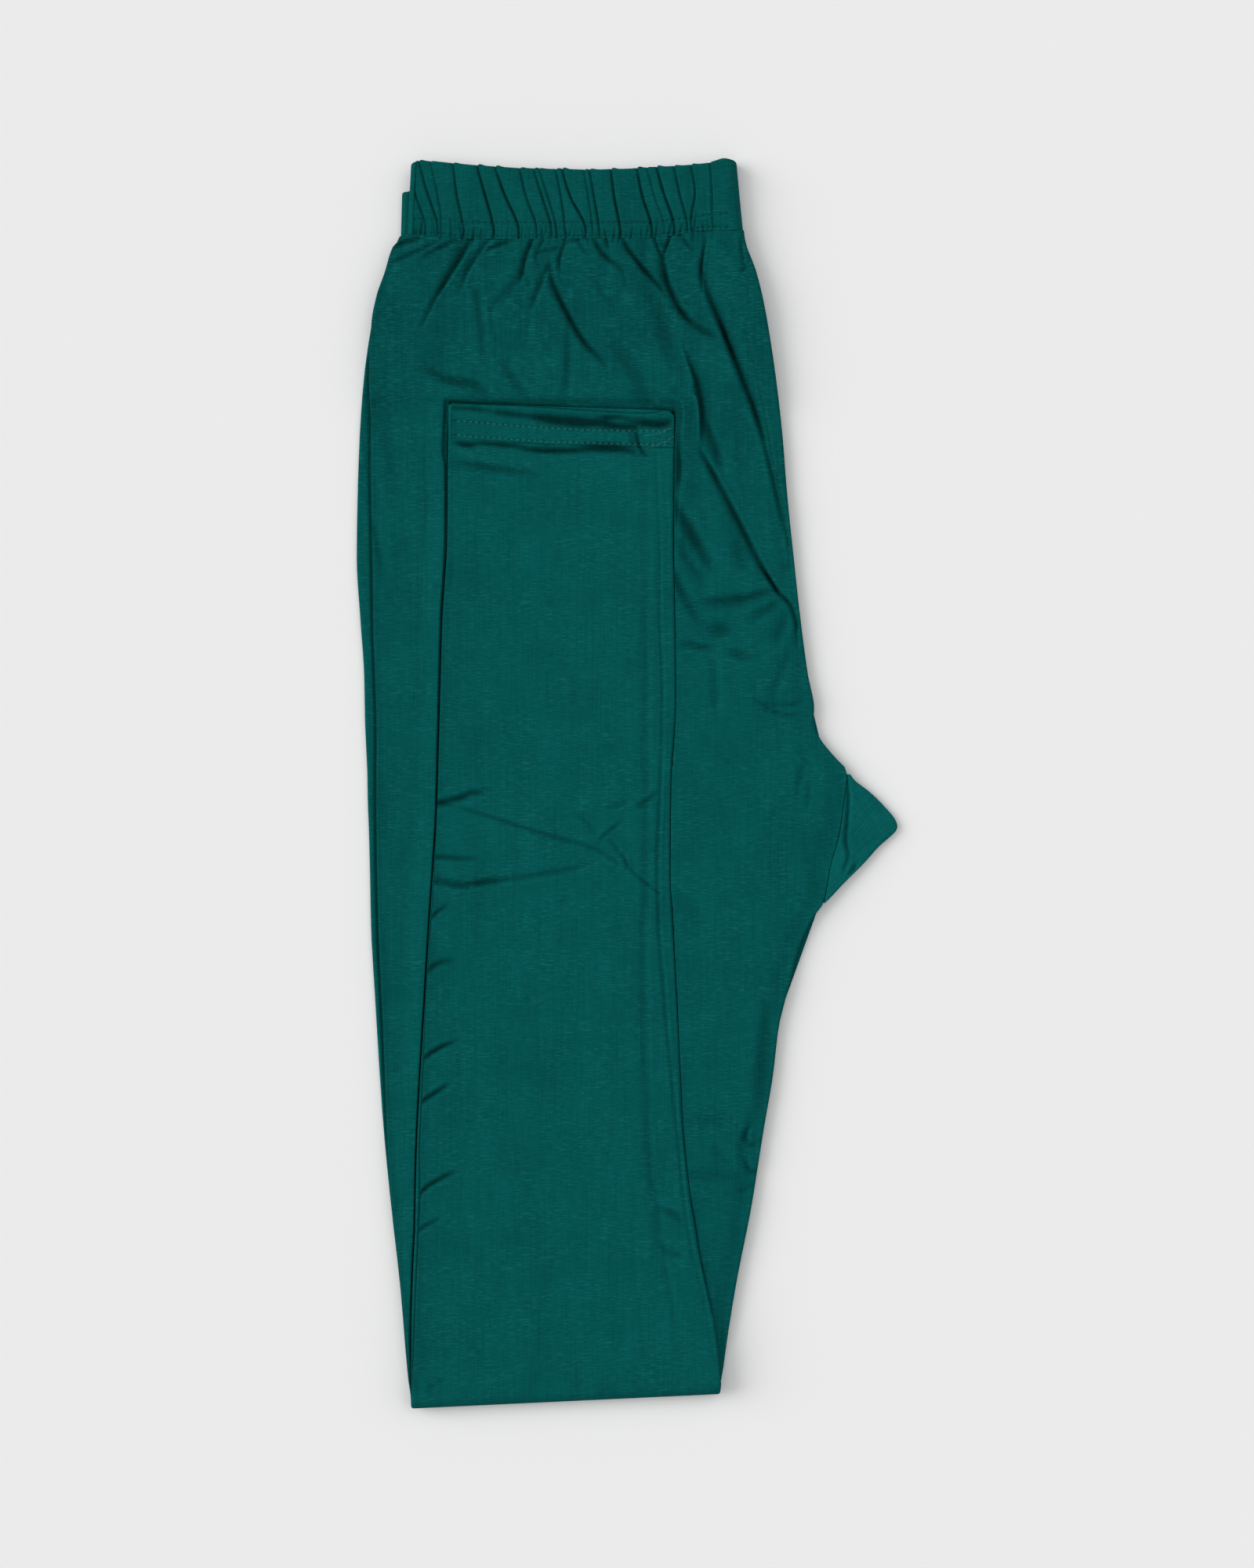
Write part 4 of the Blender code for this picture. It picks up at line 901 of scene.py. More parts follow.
def gather_lines():
    """The gathers of the near half, as creases from over the top edge to below the seam."""
    out = []
    for gather in GATHERS:
        top, row, seam = (float(across(line, gather.row_x))
                          for line in (BAND_TOP, BAND_UPPER_ROW, BAND_SEAM))
        middle = row + GATHER_MIDDLE * (top - row)
        line = ((gather.top_x - 0.4, top + GATHER_OVER), (gather.top_x, top - 0.5),
                (gather.middle_x, middle), (gather.row_x, row), (gather.row_x + 0.5, seam),
                (gather.row_x + 0.2, seam - GATHER_UNDER))
        out.append(Crease(*GATHER_WALLS, gather.depth, *GATHER_LIFTS, line))
    return tuple(out)


def near_thigh_relief(x, y):
    """The near thigh's swell, folds, puckers and soft unevenness, and how far they dip."""
    waves = uneven(x, y * WAVE_LENGTHENING, HIP_WAVES) * fade((BAND_SEAM_Y - y) / WAVE_REACH)
    lines = DEEP_FOLDS + TUCKS + HIP_CREASES + STRIP_CREASES + pucker_lines() + (CROTCH_SEAM,)
    dips = edge_grooves(x, y) + crease_height(x, y, lines)
    return strip_swell(x, y) + bank(x, y) + uneven(x, y, THIGH_WAVES) + waves + dips, dips


def from_pile(x, y):
    """How far each place lies left of, right of and above the folded-up shins, or inside."""
    left, right = pile_edges(y)
    return left - x, x - right, y - across(NEAR_HEM_TOP, x)


def pressed(x, y, top, relief):
    """The near thigh's relief, held flat where the folded-up shins lie on it."""
    on_left, on_right, above = from_pile(x, y)
    beyond = np.maximum(on_left - PRESS_OUTSIDE, on_right + PRESS_TUCK)
    free = RELEASE_RISE * (1 - fade(np.maximum(beyond, above) / PRESS_RELEASE))
    return np.minimum(relief, NEAR_THIGH_TOP - top - PRESS_SLACK + free)


def bank(x, y):
    """How far the thigh rises round the pile of shins, so that it lies sunk into the thigh."""
    on_left, on_right, above = from_pile(x, y)
    right_bank = fade(on_right / BANK_SIDE) * fade((BANK_FROM_Y - y) / BANK_FADE)
    beside = np.where(on_right > on_left, right_bank, fade(on_left / BANK_SIDE))
    return BANK_RISE * beside * fade(above / BANK_REACH)


def pile_shade(x, y):
    """The painted shade line on the near thigh beside the pile of shins: on the left, and above it.
    """
    on_left, on_right, above = from_pile(x, y)
    strength = np.where(above > 0, TOP_CONTACT_SHADE, LEFT_CONTACT_SHADE * (on_left > on_right))
    return strength * contact_shade(on_left) * contact_shade(on_right) * contact_shade(above)


def contact_shade(distance):
    """The mask of the painted contact shade: 1 under a layer that lies on the cloth, fading out a
    little way beyond its edge.
    """
    return fade(distance / CONTACT_SHADE_REACH)


def layer_shade(leg, x, y, thigh):
    """The painted shade lines on a leg beside the layers on it. The first rows are those of its
    thigh.
    """
    shade = np.zeros(x.shape)
    on_thigh, on_shin = slice(0, thigh), slice(thigh, None)
    if leg == "near":
        shade[on_thigh] = pile_shade(x[on_thigh], y[on_thigh])
        above = shin_edges("far", y[on_shin])[0]
        shade[on_shin] = LEFT_CONTACT_SHADE * contact_shade(above - x[on_shin])
    else:
        above = thigh_edges("near", y[on_thigh])[0]
        shade[on_thigh] = FAR_CONTACT_SHADE * contact_shade(above - x[on_thigh])
    return shade


def far_shin_relief(x, y):
    """The far shin's folds, its inseam and the edge of the leg inside it, and how far they dip, the
    folds weighted more for the painted shade.
    """
    folds = crease_height(x, y, SHIN_CREASES + SEAM_CREASES)
    inseam = crease_height(x, y, (INSEAM, INNER_EDGE))
    return uneven(x, y, SHIN_WAVES) + folds + inseam, SHIN_PAINTED_SHADE * folds + inseam


def painted_shade_from(dips, shade=0.0):
    """How much painted shade each place gets, 1 or so at most, from its dip and the painted shade
    at an edge.
    """
    return np.clip(-dips / PAINTED_SHADE_FULL_DIP + shade, 0.0, PAINTED_SHADE_MOST)


def edge_shade(left, x):
    """Painted shade along a rolled left edge: darker for a little way in, and faintly so for a good
    way.
    """
    return EDGE_SHADE * fade((x - left) / EDGE_REACH) + SIDE_SHADE * fade((x - left) / SIDE_REACH)


def under_relief(x, y):
    """Shallow creases on the side that lies on the surface. They only rise from it."""
    return np.maximum(0.0, -crease_height(x, y, UNDER_CREASES))


def under_near_edge(x, y):
    """1 where the far thigh sinks beside and under the near leg's left edge, 0 elsewhere."""
    inside = x - float(column(THIGH, "near_left", y))
    beside = fade((-inside - UNDER_EDGE_REACH) / GROOVE_WALL + 0.5)
    return beside * fade(inside - 2 * UNDER_EDGE_REACH)


def half_turn(steps):
    """The angles between the two ends of a half turn."""
    return np.radians(np.linspace(0, 180, steps)[1:-1])


def leg_section(left, right, outer, inner, inset, right_round):
    """Round a pressed leg's section: x, and a height of 0 on its outer side and 1 on its inner.

    It starts and ends at the middle of the left edge, so the first column meets the last.
    """
    radius = LEG_PLY / 2 - inset
    left, right = left + inset, right - inset
    corner = radius * right_round
    turn = half_turn(LEG_EDGE_STEPS)
    half = len(turn) // 2
    rise = 0.5 - 0.5 * np.cos(turn)
    start, width = left + radius, right - corner - left - radius
    left_x = left + radius - radius * np.sin(turn)
    right_x = right - corner + corner * np.sin(turn)
    x = np.concatenate((left_x[half::-1], start + width * outer, right_x,
                        start + width * inner[::-1], left_x[:half - 1:-1]))
    height = np.concatenate((rise[half::-1], np.zeros(len(outer)), rise, np.ones(len(inner)),
                             rise[:half - 1:-1]))
    return x, height


def seam_corner(y):
    """How round a leg's right edge is: sharp where the gusset is sewn to it."""
    beside = fade((y - SEAM_CORNER_TO) / SEAM_CORNER_FADE)
    beside *= fade((SEAM_CORNER_FROM - y) / SEAM_CORNER_FADE)
    return 1 - (1 - SEAM_CORNER) * beside


def leg_places(leg, rows, outer, thigh_inner, inset, relief=None, under=None):
    """Places of a leg's cloth at a depth inside it, from the casing round the knee to the hem.

    The relief shapes the side that shows, and under the side that lies on the surface.
    """
    least = 2 * CLOTH + LEAST_AIR if inset == 0 else LEAST_INSIDE
    thigh_rows, shin_rows = rows
    inner = thigh_inner[-1]
    out = []
    for y, columns in zip(thigh_rows, thigh_inner):
        x, height = leg_section(*thigh_edges(leg, y), outer, columns, inset, seam_corner(y))
        far_top = column(HIP, "far_top", y)
        if leg == "far":
            floor, top, bump = 0.0, far_top, -UNDER_EDGE_DIP * under_near_edge(x, y)
        else:
            floor, top = far_top + LAYER_GAP, column(HIP, "near_top", y)
            bump = 0.0 if relief is None else relief[len(out)]
        dent = 0.0 if under is None else under[len(out)]
        span = np.maximum(top + bump - dent - floor - 2 * inset, least)
        place_y = joined_to(BAND_SEAM, BAND_SEAM_Y, BAND_SEAM_FADE, x, np.full(x.shape, y))
        out.append((x, tilted(x, place_y), floor + inset + dent + span * height))
    inner_radius = LAYER_GAP / 2 if leg == "near" else LAYER_GAP * 1.5 + LEG_PLY
    ends = np.array((thigh_edges(leg, THIGH[0].y), shin_edges(leg, SHIN[0].y)))
    for share in np.arange(FOLD_TURNS + 1) / FOLD_TURNS:
        x, height = leg_section(*(ends[0] + (ends[1] - ends[0]) * share), outer, inner, inset, 1.0)
        radius = inner_radius + inset + (LEG_PLY - 2 * inset) * (1 - height)
        y = FOLD_Y - radius * math.sin(math.pi * share)
        out.append((x, tilted(x, y), FOLD_Z - radius * math.cos(math.pi * share)))
    floor = FAR_SHIN_FLOOR if leg == "far" else NEAR_SHIN_FLOOR
    for y in shin_rows:
        x, height = leg_section(*shin_edges(leg, y), outer, inner, inset, 1.0)
        bump = relief[len(out)] if leg == "far" and relief is not None else 0.0
        span = np.maximum(LEG_PLY + bump - 2 * inset, least)
        place_y = joined_to(FAR_HEM_SEAM, HEM_SEAM_Y, HEM_SEAM_FADE, x, np.full(x.shape, y))
        out.append((x, tilted(x, place_y), floor + inset + span * (1 - height)))
    return np.array(out).transpose(0, 2, 1)


def lowest_near(relief, reach):
    """Each place's lowest relief within a reach of rows, so an inner wall stays inside."""
    low = relief.copy()
    for step in range(1, reach + 1):
        low[step:] = np.minimum(low[step:], relief[:-step])
        low[:-step] = np.minimum(low[:-step], relief[step:])
    return low


def crowded_columns(y, count):
    """Shares across the near thigh at y, closer at its deep folds and sparse under the shins."""
    left, right = thigh_edges("near", y)
    left, right = left + LEG_PLY / 2, right - LEG_PLY / 2 * seam_corner(y)
    x = np.linspace(left, right, NEED_SAMPLES * count)
    need = np.ones(x.shape)
    for fold in DEEP_FOLDS:
        values, places = zip(*fold.line[::-1])
        beside = fade((places[0] - y) / CROWD_END) * fade((y - places[-1]) / CROWD_END)
        need += CROWD * beside * bell(x - smooth(places, values, y), CROWD_WIDTH)
    shin_left, shin_right = pile_edges(y)
    covered = fade((shin_left + CROWD_END - x) / CROWD_END)
    covered *= fade((x - shin_right + CROWD_END) / CROWD_END)
    below = fade((y - NEAR_HEM_TOP[0][1]) / COVERED_FROM)
    need *= 1 - COVERED_THINNING * covered * below
    for edge in (shin_left, shin_right):
        need += EDGE_CROWD * below * bell(x - edge, EDGE_CROWD_WIDTH)
    share = np.concatenate(([0.0], np.cumsum(need[1:] + need[:-1])))
    return np.interp(np.linspace(0, share[-1], count), share, (x - left) / (right - left))


def knit_map(places):
    """Across and along the knit at each place of a leg. Its middle column keeps its own X."""
    step = np.hypot(np.diff(places[..., 0], axis=1), np.diff(places[..., 2], axis=1))
    u = np.concatenate((np.zeros((len(step), 1)), np.cumsum(step, axis=1)), axis=1)
    middle = places.shape[1] // 2
    heading = np.sign(places[:, middle + 1:middle + 2, 0] - places[:, middle:middle + 1, 0])
    u += heading * places[:, middle:middle + 1, 0] - u[:, middle:middle + 1]
    return u, np.repeat(run_along(places[:, middle, 1:])[:, None], u.shape[1], axis=1)


def leg_shell(leg, rows, outer, inner, relief_of, under_of=None):
    """A leg's cloth as a thin shell: its outer side, and a coarser inner one a cloth deeper."""
    plain = leg_places(leg, rows, outer, inner, 0.0)
    x, y = plain[..., 0], plain[..., 1]
    relief, dips = relief_of(x, y)
    under = None if under_of is None else under_of(x, y)
    outside = leg_places(leg, rows, outer, inner, 0.0, relief, under)
    low = lowest_near(relief, INNER_STEP)
    high = None if under is None else -lowest_near(-under, INNER_STEP)
    inside = leg_places(leg, rows, outer, inner, CLOTH, low, high)
    thigh = len(rows[0])
    first_shin = thigh + FOLD_TURNS + 1
    shown = slice(0, thigh) if leg == "near" else slice(first_shin, None)
    # Painted shade on the side that shows: darker in its creases, along its left edge and beside
    # the layers on it.
    hollow = np.zeros(relief.shape)
    hollow[shown] = painted_shade_from(dips, edge_shade(x.min(axis=1, keepdims=True), x))[shown]
    hollow = np.maximum(hollow, layer_shade(leg, x, y, thigh))
    u, v = knit_map(plain)
    count = len(inside)
    kept = [i for i in range(count)
            if i % INNER_STEP == 0 or thigh - 2 <= i <= first_shin or i == count - 1]
    order = list(range(count)) + kept[::-1] + [0]
    places = np.concatenate((outside, inside[kept[::-1]], outside[:1]))
    return lay_grid(f"{leg}_leg_cloth", places, u[order] * MM, v[order] * MM, hollow[order])


def lay_grid(name, places, u, v, hollow):
    """A grid of quads laid on closed rows of places, welded both ways, with the knit's map and the
    painted shade of each place.
    """
    rows, columns = places.shape[:2]
    shape = bmesh.new()
    bmesh.ops.create_grid(shape, x_segments=columns - 1, y_segments=rows - 1, size=0.5)
    mesh = bpy.data.meshes.new(name)
    shape.to_mesh(mesh)
    shape.clear()
    flat = np.empty(len(mesh.vertices) * 3)
    mesh.vertices.foreach_get("co", flat)
    flat = flat.reshape(-1, 3)
    i = np.rint((flat[:, 1] + 0.5) * (rows - 1)).astype(int)
    j = np.rint((flat[:, 0] + 0.5) * (columns - 1)).astype(int)
    mesh.vertices.foreach_set("co", (places[i, j] * MM).ravel())
    corner = np.empty(len(mesh.loops), int)
    mesh.loops.foreach_get("vertex_index", corner)
    layer = mesh.uv_layers.new(name="knit")
    layer.data.foreach_set("uv", np.stack((u[i, j], v[i, j]), axis=1)[corner].ravel())
    # The painted shade of each place, which the cloth's material reads.
    mesh.attributes.new("hollow", "FLOAT", "POINT").data.foreach_set("value", hollow[i, j])
    shape.from_mesh(mesh)
    shape.verts.ensure_lookup_table()
    edge = np.flatnonzero((j == 0) | (j == columns - 1) | (i == 0) | (i == rows - 1))
    bmesh.ops.remove_doubles(shape, verts=[shape.verts[k] for k in edge], dist=WELD)
    bmesh.ops.holes_fill(shape, edges=[e for e in shape.edges if e.is_boundary], sides=0)
    bmesh.ops.recalc_face_normals(shape, faces=shape.faces)
    return smooth_object(name, mesh, shape)


def lay_rings(name, rings, painted_shades):
    """A piece from closed rings of places. The knit runs round the first ring and along Y."""
    places = np.array(rings)
    u = np.repeat(run_along(places[0, :, ::2])[None] * MM, len(places), axis=0)
    return lay_grid(name, places, u, places[..., 1] * MM, np.array(painted_shades))


def smooth_object(name, mesh, shape):
    """An object whose mesh is the finished shape."""
    shape.to_mesh(mesh)
    shape.free()
    mesh.shade_smooth()
    return put(name, mesh)


def put(name, data):
    """An object in the scene that holds the data."""
    thing = bpy.data.objects.new(name, data)
    bpy.context.scene.collection.objects.link(thing)
    return thing


def finish_piece(piece, material, slot, *nodes):
    piece.data.materials.append(material)
    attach(piece, "root")
    if nodes:
        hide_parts(*nodes)
    return piece


def spread(stretches):
    """Places in a row, from stretches with their first and last place and their count."""
    return np.concatenate([np.linspace(*stretch) for stretch in stretches])


def make_near_leg(material):
    """The leg on the far one. Its creased thigh shows, its shin lies under the far shin."""
    thigh_rows = spread(NEAR_THIGH_ROWS)

    def relief_of(x, y):
        top = np.zeros(x.shape)
        top[:len(thigh_rows)] = column(HIP, "near_top", thigh_rows)[:, None]
        relief, dips = near_thigh_relief(x, y)
        return pressed(x, y, top, relief), dips

    inner = np.array([crowded_columns(y, NEAR_LEG_COLUMNS) for y in thigh_rows])
    rows = thigh_rows, spread(NEAR_SHIN_ROWS)
    piece = leg_shell("near", rows, spread(NEAR_OUTER_SHARES), inner, relief_of)
    return finish_piece(piece, material, "leg_jersey", "near_leg")


def make_far_leg(material):
    """The leg underneath, whose shin lies on top of everything."""
    rows = spread(FAR_THIGH_ROWS), spread(FAR_SHIN_ROWS)
    inner = np.tile(spread(FAR_INNER_SHARES), (len(rows[0]), 1))
    piece = leg_shell("far", rows, spread(FAR_OUTER_SHARES), inner, far_shin_relief, under_relief)
    return finish_piece(piece, material, "leg_jersey", "far_leg")


def band_path(v):
    """Round the casing's middle line at v, 0 at the seam to 1 at the top.

    It runs over the top wall to the right, round the outside to the bottom wall, back to the
    left, and home through the two inner walls. Gives x, z, the outward direction and how far
    each point belongs to the lower, far half.
    """
    near_columns, far_columns, other_columns = BAND_COLUMNS
    pitch = BAND_WALL + LAYER_GAP
    levels = [BAND_WALL / 2 + pitch * i for i in range(4)]
    middle_z = (levels[0] + levels[3]) / 2
    inset = pitch / 2 + BAND_WALL / 2
    near_left = np.interp(v, (0, 1), BAND_NEAR_LEFT) + inset
    far_left = np.interp(v, (0, 1), BAND_FAR_LEFT) + inset
    right = np.interp(v, (0, 1), BAND_RIGHT) - pitch * 1.5 - BAND_WALL / 2
    points = []

    def wall(start, end, count, z, up, far):
        for x in start + (end - start) * np.linspace(0, 1, count):
            points.append((x, z, 0.0, up, far * (right - x) / (right - far_left)))

    def bend(x, z, radius, first, last, count, outward, far):
        for angle in np.radians(first + (last - first) * np.arange(1, count) / count):
            place = x + radius * math.cos(angle), z + radius * math.sin(angle)
            points.append((*place, outward * math.cos(angle), outward * math.sin(angle), far))

    wall(near_left, right, near_columns, levels[3], 1.0, 0.0)
    bend(right, middle_z, pitch * 1.5, 90, -90, WIDE_BEND, 1.0, 0.0)
    wall(right, far_left, far_columns, levels[0], -1.0, 1.0)
    bend(far_left, levels[0] + pitch / 2, pitch / 2, 270, 90, TIGHT_BEND, 1.0, 1.0)
    wall(far_left, right, other_columns, levels[1], 1.0, 1.0)
    bend(right, middle_z, pitch / 2, -90, 90, TIGHT_BEND, -1.0, 0.0)
    wall(right, near_left, other_columns, levels[2], -1.0, 0.0)
    bend(near_left, levels[2] + pitch / 2, pitch / 2, 270, 90, TIGHT_BEND, 1.0, 0.0)
    points.append(points[0])
    return np.array(points)


def ring_loops(count, half):
    """Round a wall's section, from its seam over its free edge and back inside.

    Gives the share up the wall, the offset from its middle line and the reach over the edge.
    """
    loops = [(share, half, 0.0) for share in np.linspace(0, 1, count)]
    loops += [(1.0, half * math.cos(turn), half * math.sin(turn)) for turn in EDGE_TURN]
    return loops + [(1.0, -half, 0.0), (0.5, -half, 0.0), (0.0, -half, 0.0), (0.0, half, 0.0)]


def needle_rows(x, y, rows, depth):
    """Rows of stitches draw the cloth in: a narrow dip, deeper at each needle hole."""
    height = np.zeros(x.shape)
    hole = NEEDLE_MEAN + NEEDLE_SWING * np.cos(2 * np.pi * x / STITCH_PITCH)
    for row in rows:
        height -= depth * hole * bell(y - across(row, x), NEEDLE_WIDTH)
    return height


def band_relief(x, y, v):
    """The casing's gathers, puckers, pillows and stitch rows, and how far they dip."""
    dips = crease_height(x, y, gather_lines() + pucker_lines())
    dips += needle_rows(x, y, (BAND_UPPER_ROW, BAND_LOWER_ROW), BAND_NEEDLE_DIP)
    height = dips + uneven(x, y, BAND_WAVES)
    slant = np.interp(v, (ROW_SHARE, 1.0), (1.0, 0.0))
    lines = [gather.top_x + (gather.row_x - gather.top_x) * slant for gather in GATHERS]
    for left, right in zip(lines, lines[1:]):
        width = max(right - left, PILLOW_LEAST)
        rise = GATHER_PILLOW * min(1.0, width / PILLOW_WIDTH)
        pillow = np.sin(np.pi * np.clip((x - left) / width, 0, 1)) ** PILLOW_FULLNESS
        height += rise * pillow * np.interp(v, (0, ROW_SHARE, 2 * ROW_SHARE), PILLOW_SHARES)
    return height - (BAND_TOP_Z - SEAM_TOP_Z) * fade(v / ROW_SHARE), dips


def band_rough(x):
    """1 where the casing is gathered, fading to 0 at its smooth right end."""
    return fade((x - BAND_SMOOTH_FROM - BAND_SMOOTH_FADE) / BAND_SMOOTH_FADE)


def top_humps(x):
    """The casing's top edge rises in a small hump beside each gather, higher at deeper ones."""
    return sum(HUMP_RISE * gather.depth * bell(x - gather.top_x - HUMP_SIDE, HUMP_WIDTH)
               for gather in GATHERS)


def make_waistband(material):
    """The gathered casing with its elastic: a closed tube, pressed flat and folded in half."""
    half = BAND_WALL / 2
    rings, painted_shades = [], []
    for v, offset, over in ring_loops(BAND_ROWS, half):
        x, z, out_x, out_z, far = band_path(v).T
        top = across(BAND_TOP, x) - FAR_HALF_DROP * far - half
        seam = across(BAND_SEAM, x)
        y = seam + (top - seam) * v + over
        shown = np.arange(len(x)) < BAND_COLUMNS[0]
        below = (out_z < -0.99) & (z < BAND_WALL)
        relief, dips = band_relief(x, y, v)
        relief = relief * band_rough(x) * shown
        outward = max(0.0, offset / half)
        rise = np.maximum(0.0, -crease_height(x, y, gather_lines())) * UNDER_GATHER * below
        if v == 1 and offset > -half:
            y = y + 0.5 * np.maximum(relief, TOP_DEEPEST) + top_humps(x) * shown
        z = z + (relief + rise) * outward
        rings.append(np.stack((x + out_x * offset, y, z + out_z * offset), axis=1))
        # Painted shade in the gathers, puckers and stitch rows of the side that shows.
        painted_shades.append(painted_shade_from(BAND_PAINTED_SHADE * dips) * band_rough(x) * shown * outward)
    piece = lay_rings("waistband_casing", rings, painted_shades)
    return finish_piece(piece, material, "waistband_jersey", "waistband")


def hem_loop(leg, y_of, offset, floor, wall):
    """One loop of a flattened hem ring: two walls with a slit between them."""
    count = HEM_COLUMNS[leg]
    half_pitch = (wall + LAYER_GAP) / 2
    left, right = shin_edges(leg, FAR_HEM_SEAM[0][1])
    flat = np.linspace(left + wall / 2 + half_pitch, right - wall / 2 - half_pitch, count)
    turn = half_turn(TIGHT_BEND)
    level, edge = np.ones(count), np.ones(len(turn))
    out_x = np.concatenate((0 * level, np.sin(turn), 0 * level, -np.sin(turn), [0.0]))
    out_z = np.concatenate((level, np.cos(turn), -level, -np.cos(turn), [1.0]))
    x = np.concatenate((flat, flat[-1] * edge, flat[::-1], flat[0] * edge, flat[:1]))
    x = x + out_x * half_pitch
    z = floor + wall / 2 + half_pitch + out_z * half_pitch
    return np.stack((x + out_x * offset, y_of(x), z + out_z * offset), axis=1)


def hem_relief(x, y):
    """A turned hem: raised at its edge, sunk behind it and at its stitches, and how far it dips."""
    lip = HEM_LIP * bell(across(FAR_HEM_TOP, x) - y - HEM_LIP_PLACE, HEM_LIP_WIDTH)
    dips = needle_rows(x, y, (FAR_HEM_UPPER_ROW, FAR_HEM_LOWER_ROW), HEM_NEEDLE_DIP)
    dips += crease_height(x, y, HEM_CREASES + SEAM_CREASES)
    return lip + uneven(x, y, HEM_WAVES) + np.maximum(dips, HEM_DEEPEST), dips


def make_hem(leg, top_line, floor, wall, material):
    """A turned hem pressed flat: a ring with an open mouth at its free edge."""
    half = wall / 2
    shown = slice(0, HEM_COLUMNS[leg])
    rings, painted_shades = [], []
    for share, offset, over in ring_loops(HEM_ROWS, half):

        def y_of(x):
            seam, top = across(FAR_HEM_SEAM, x), across(top_line, x) - half
            return seam + (top - seam) * share + over

        ring = hem_loop(leg, y_of, offset, floor, wall)
        if leg == "far":
            hollow = np.zeros(len(ring))
            outward = max(0.0, offset / half)
            relief, dips = hem_relief(ring[shown, 0], ring[shown, 1])
            ring[shown, 2] += relief * outward
            # Painted shade in the hem's troughs and stitch rows, and along its left edge.
            shade = edge_shade(ring[0, 0], ring[shown, 0])
            hollow[shown] = painted_shade_from(SHIN_PAINTED_SHADE * dips, shade) * outward
        else:
            # Painted shade on the near hem beside the far hem's edge.
            hollow = HEM_CONTACT_SHADE * contact_shade(ring[:, 1] - across(FAR_HEM_TOP, ring[:, 0]))
        rings.append(ring)
        painted_shades.append(hollow)
    piece = lay_rings(f"{leg}_hem_cloth", rings, painted_shades)
    return finish_piece(piece, material, "leg_jersey", f"{leg}_hem")


def make_gusset(material):
    """The diamond of the crotch, folded in half, so its free edge shows two cloths."""
    edge_y, edge_x = np.array(GUSSET_EDGE).T
    tip = edge_x.max()
    turn = half_turn(LEG_EDGE_STEPS)
    share = np.linspace(0, 1, GUSSET_COLUMNS)
    seam_z, tip_z = GUSSET_TOP_SEAM, GUSSET_TOP_TIP
    rows, painted_shades = [], []
    for y in np.linspace(edge_y[0], edge_y[-1], GUSSET_ROWS):
        left = float(column(THIGH, "right", y)) + GUSSET_SEAM_GAP
        right = max(float(smooth(edge_y, edge_x, y)), left + GUSSET_LEAST)
        edge_z = seam_z + (tip_z - seam_z) * (right - left) / (tip - left)
        lip = min(GUSSET_LIP, (right - left) * GUSSET_LIP_SHARE)
        top_x = left + (right - lip - left) * share
        dips = crease_height(top_x, np.full(GUSSET_COLUMNS, y), GUSSET_CREASES)
        top_z = seam_z + (edge_z - seam_z) * share**2 + dips
        upper_z, lower_z = (edge_z * (level + 0.25 * np.cos(turn)) for level in (0.75, 0.25))
        edge = right - lip + lip * np.sin(turn)
        slit = right - lip * GUSSET_SLIT
        back = top_x[::-GUSSET_UNDER_STEP]
        x = np.concatenate((top_x, edge, [slit], edge, back, [left, left]))
        z = np.concatenate((top_z, upper_z, [edge_z / 2], lower_z, 0 * back, [0.0, top_z[0]]))
        rows.append(np.stack((x, np.full(x.shape, y), z), axis=1))
        # Painted shade in the gusset's creases.
        painted_shades.append(np.concatenate((painted_shade_from(dips), np.zeros(len(x) - len(dips)))))
    places = np.array(rows)
    bias = math.radians(GUSSET_BIAS)
    u = (places[..., 0] * math.cos(bias) - places[..., 1] * math.sin(bias)) * MM
    v = (places[..., 0] * math.sin(bias) + places[..., 1] * math.cos(bias)) * MM
    piece = lay_grid("gusset_cloth", places, u, v, np.array(painted_shades))
    return finish_piece(piece, material, "gusset_jersey", "gusset")


def stitch_row(shape, line, pitch, length, width, height_at, draw, from_x, to_x):
    """Short threads along a line, each a small flattened ball sunk to half its height."""
    path = curve_through(line)
    places = run_along(path)

    def at(along):
        return np.array([np.interp(along, places, values) for values in path.T])

    for along in np.arange(pitch / 2, places[-1], pitch):
        x, y = at(along)
        if not from_x <= x <= to_x:
            continue
        ahead = at(along + 0.5) - (x, y)
        turn = math.atan2(ahead[1], ahead[0]) + draw.uniform(-STITCH_TURN, STITCH_TURN)
        size = Vector((length * draw.uniform(*STITCH_LENGTHS), width, width * STITCH_FLATNESS)) * MM
        drift = draw.uniform(-STITCH_DRIFT, STITCH_DRIFT)
        place = Vector((x, y + drift, height_at(x, y))) * MM
        matrix = Matrix.Translation(place) @ Matrix.Rotation(turn, 4, "Z")
        matrix @= Matrix.Diagonal((*size, 1))
        around, along_it = STITCH_SEGMENTS
        bmesh.ops.create_uvsphere(shape, u_segments=around, v_segments=along_it, radius=0.5,
                                  matrix=matrix)


def make_stitches(name, rows, height_at, material, slot):
    draw = np.random.default_rng(STITCH_SEED)
    shape = bmesh.new()
    for line, pitch, length, width, from_x, to_x in rows:
        stitch_row(shape, line, pitch, length, width, height_at, draw, from_x, to_x)
    piece = smooth_object(name, bpy.data.meshes.new(name), shape)
    return finish_piece(piece, material, slot)


def hem_top_at(x, y):
    """The height of the far hem's upper side at one place."""
    relief, _ = hem_relief(np.array([x]), np.array([y]))
    return FAR_SHIN_FLOOR + 2 * FAR_HEM_WALL + LAYER_GAP + float(relief[0])


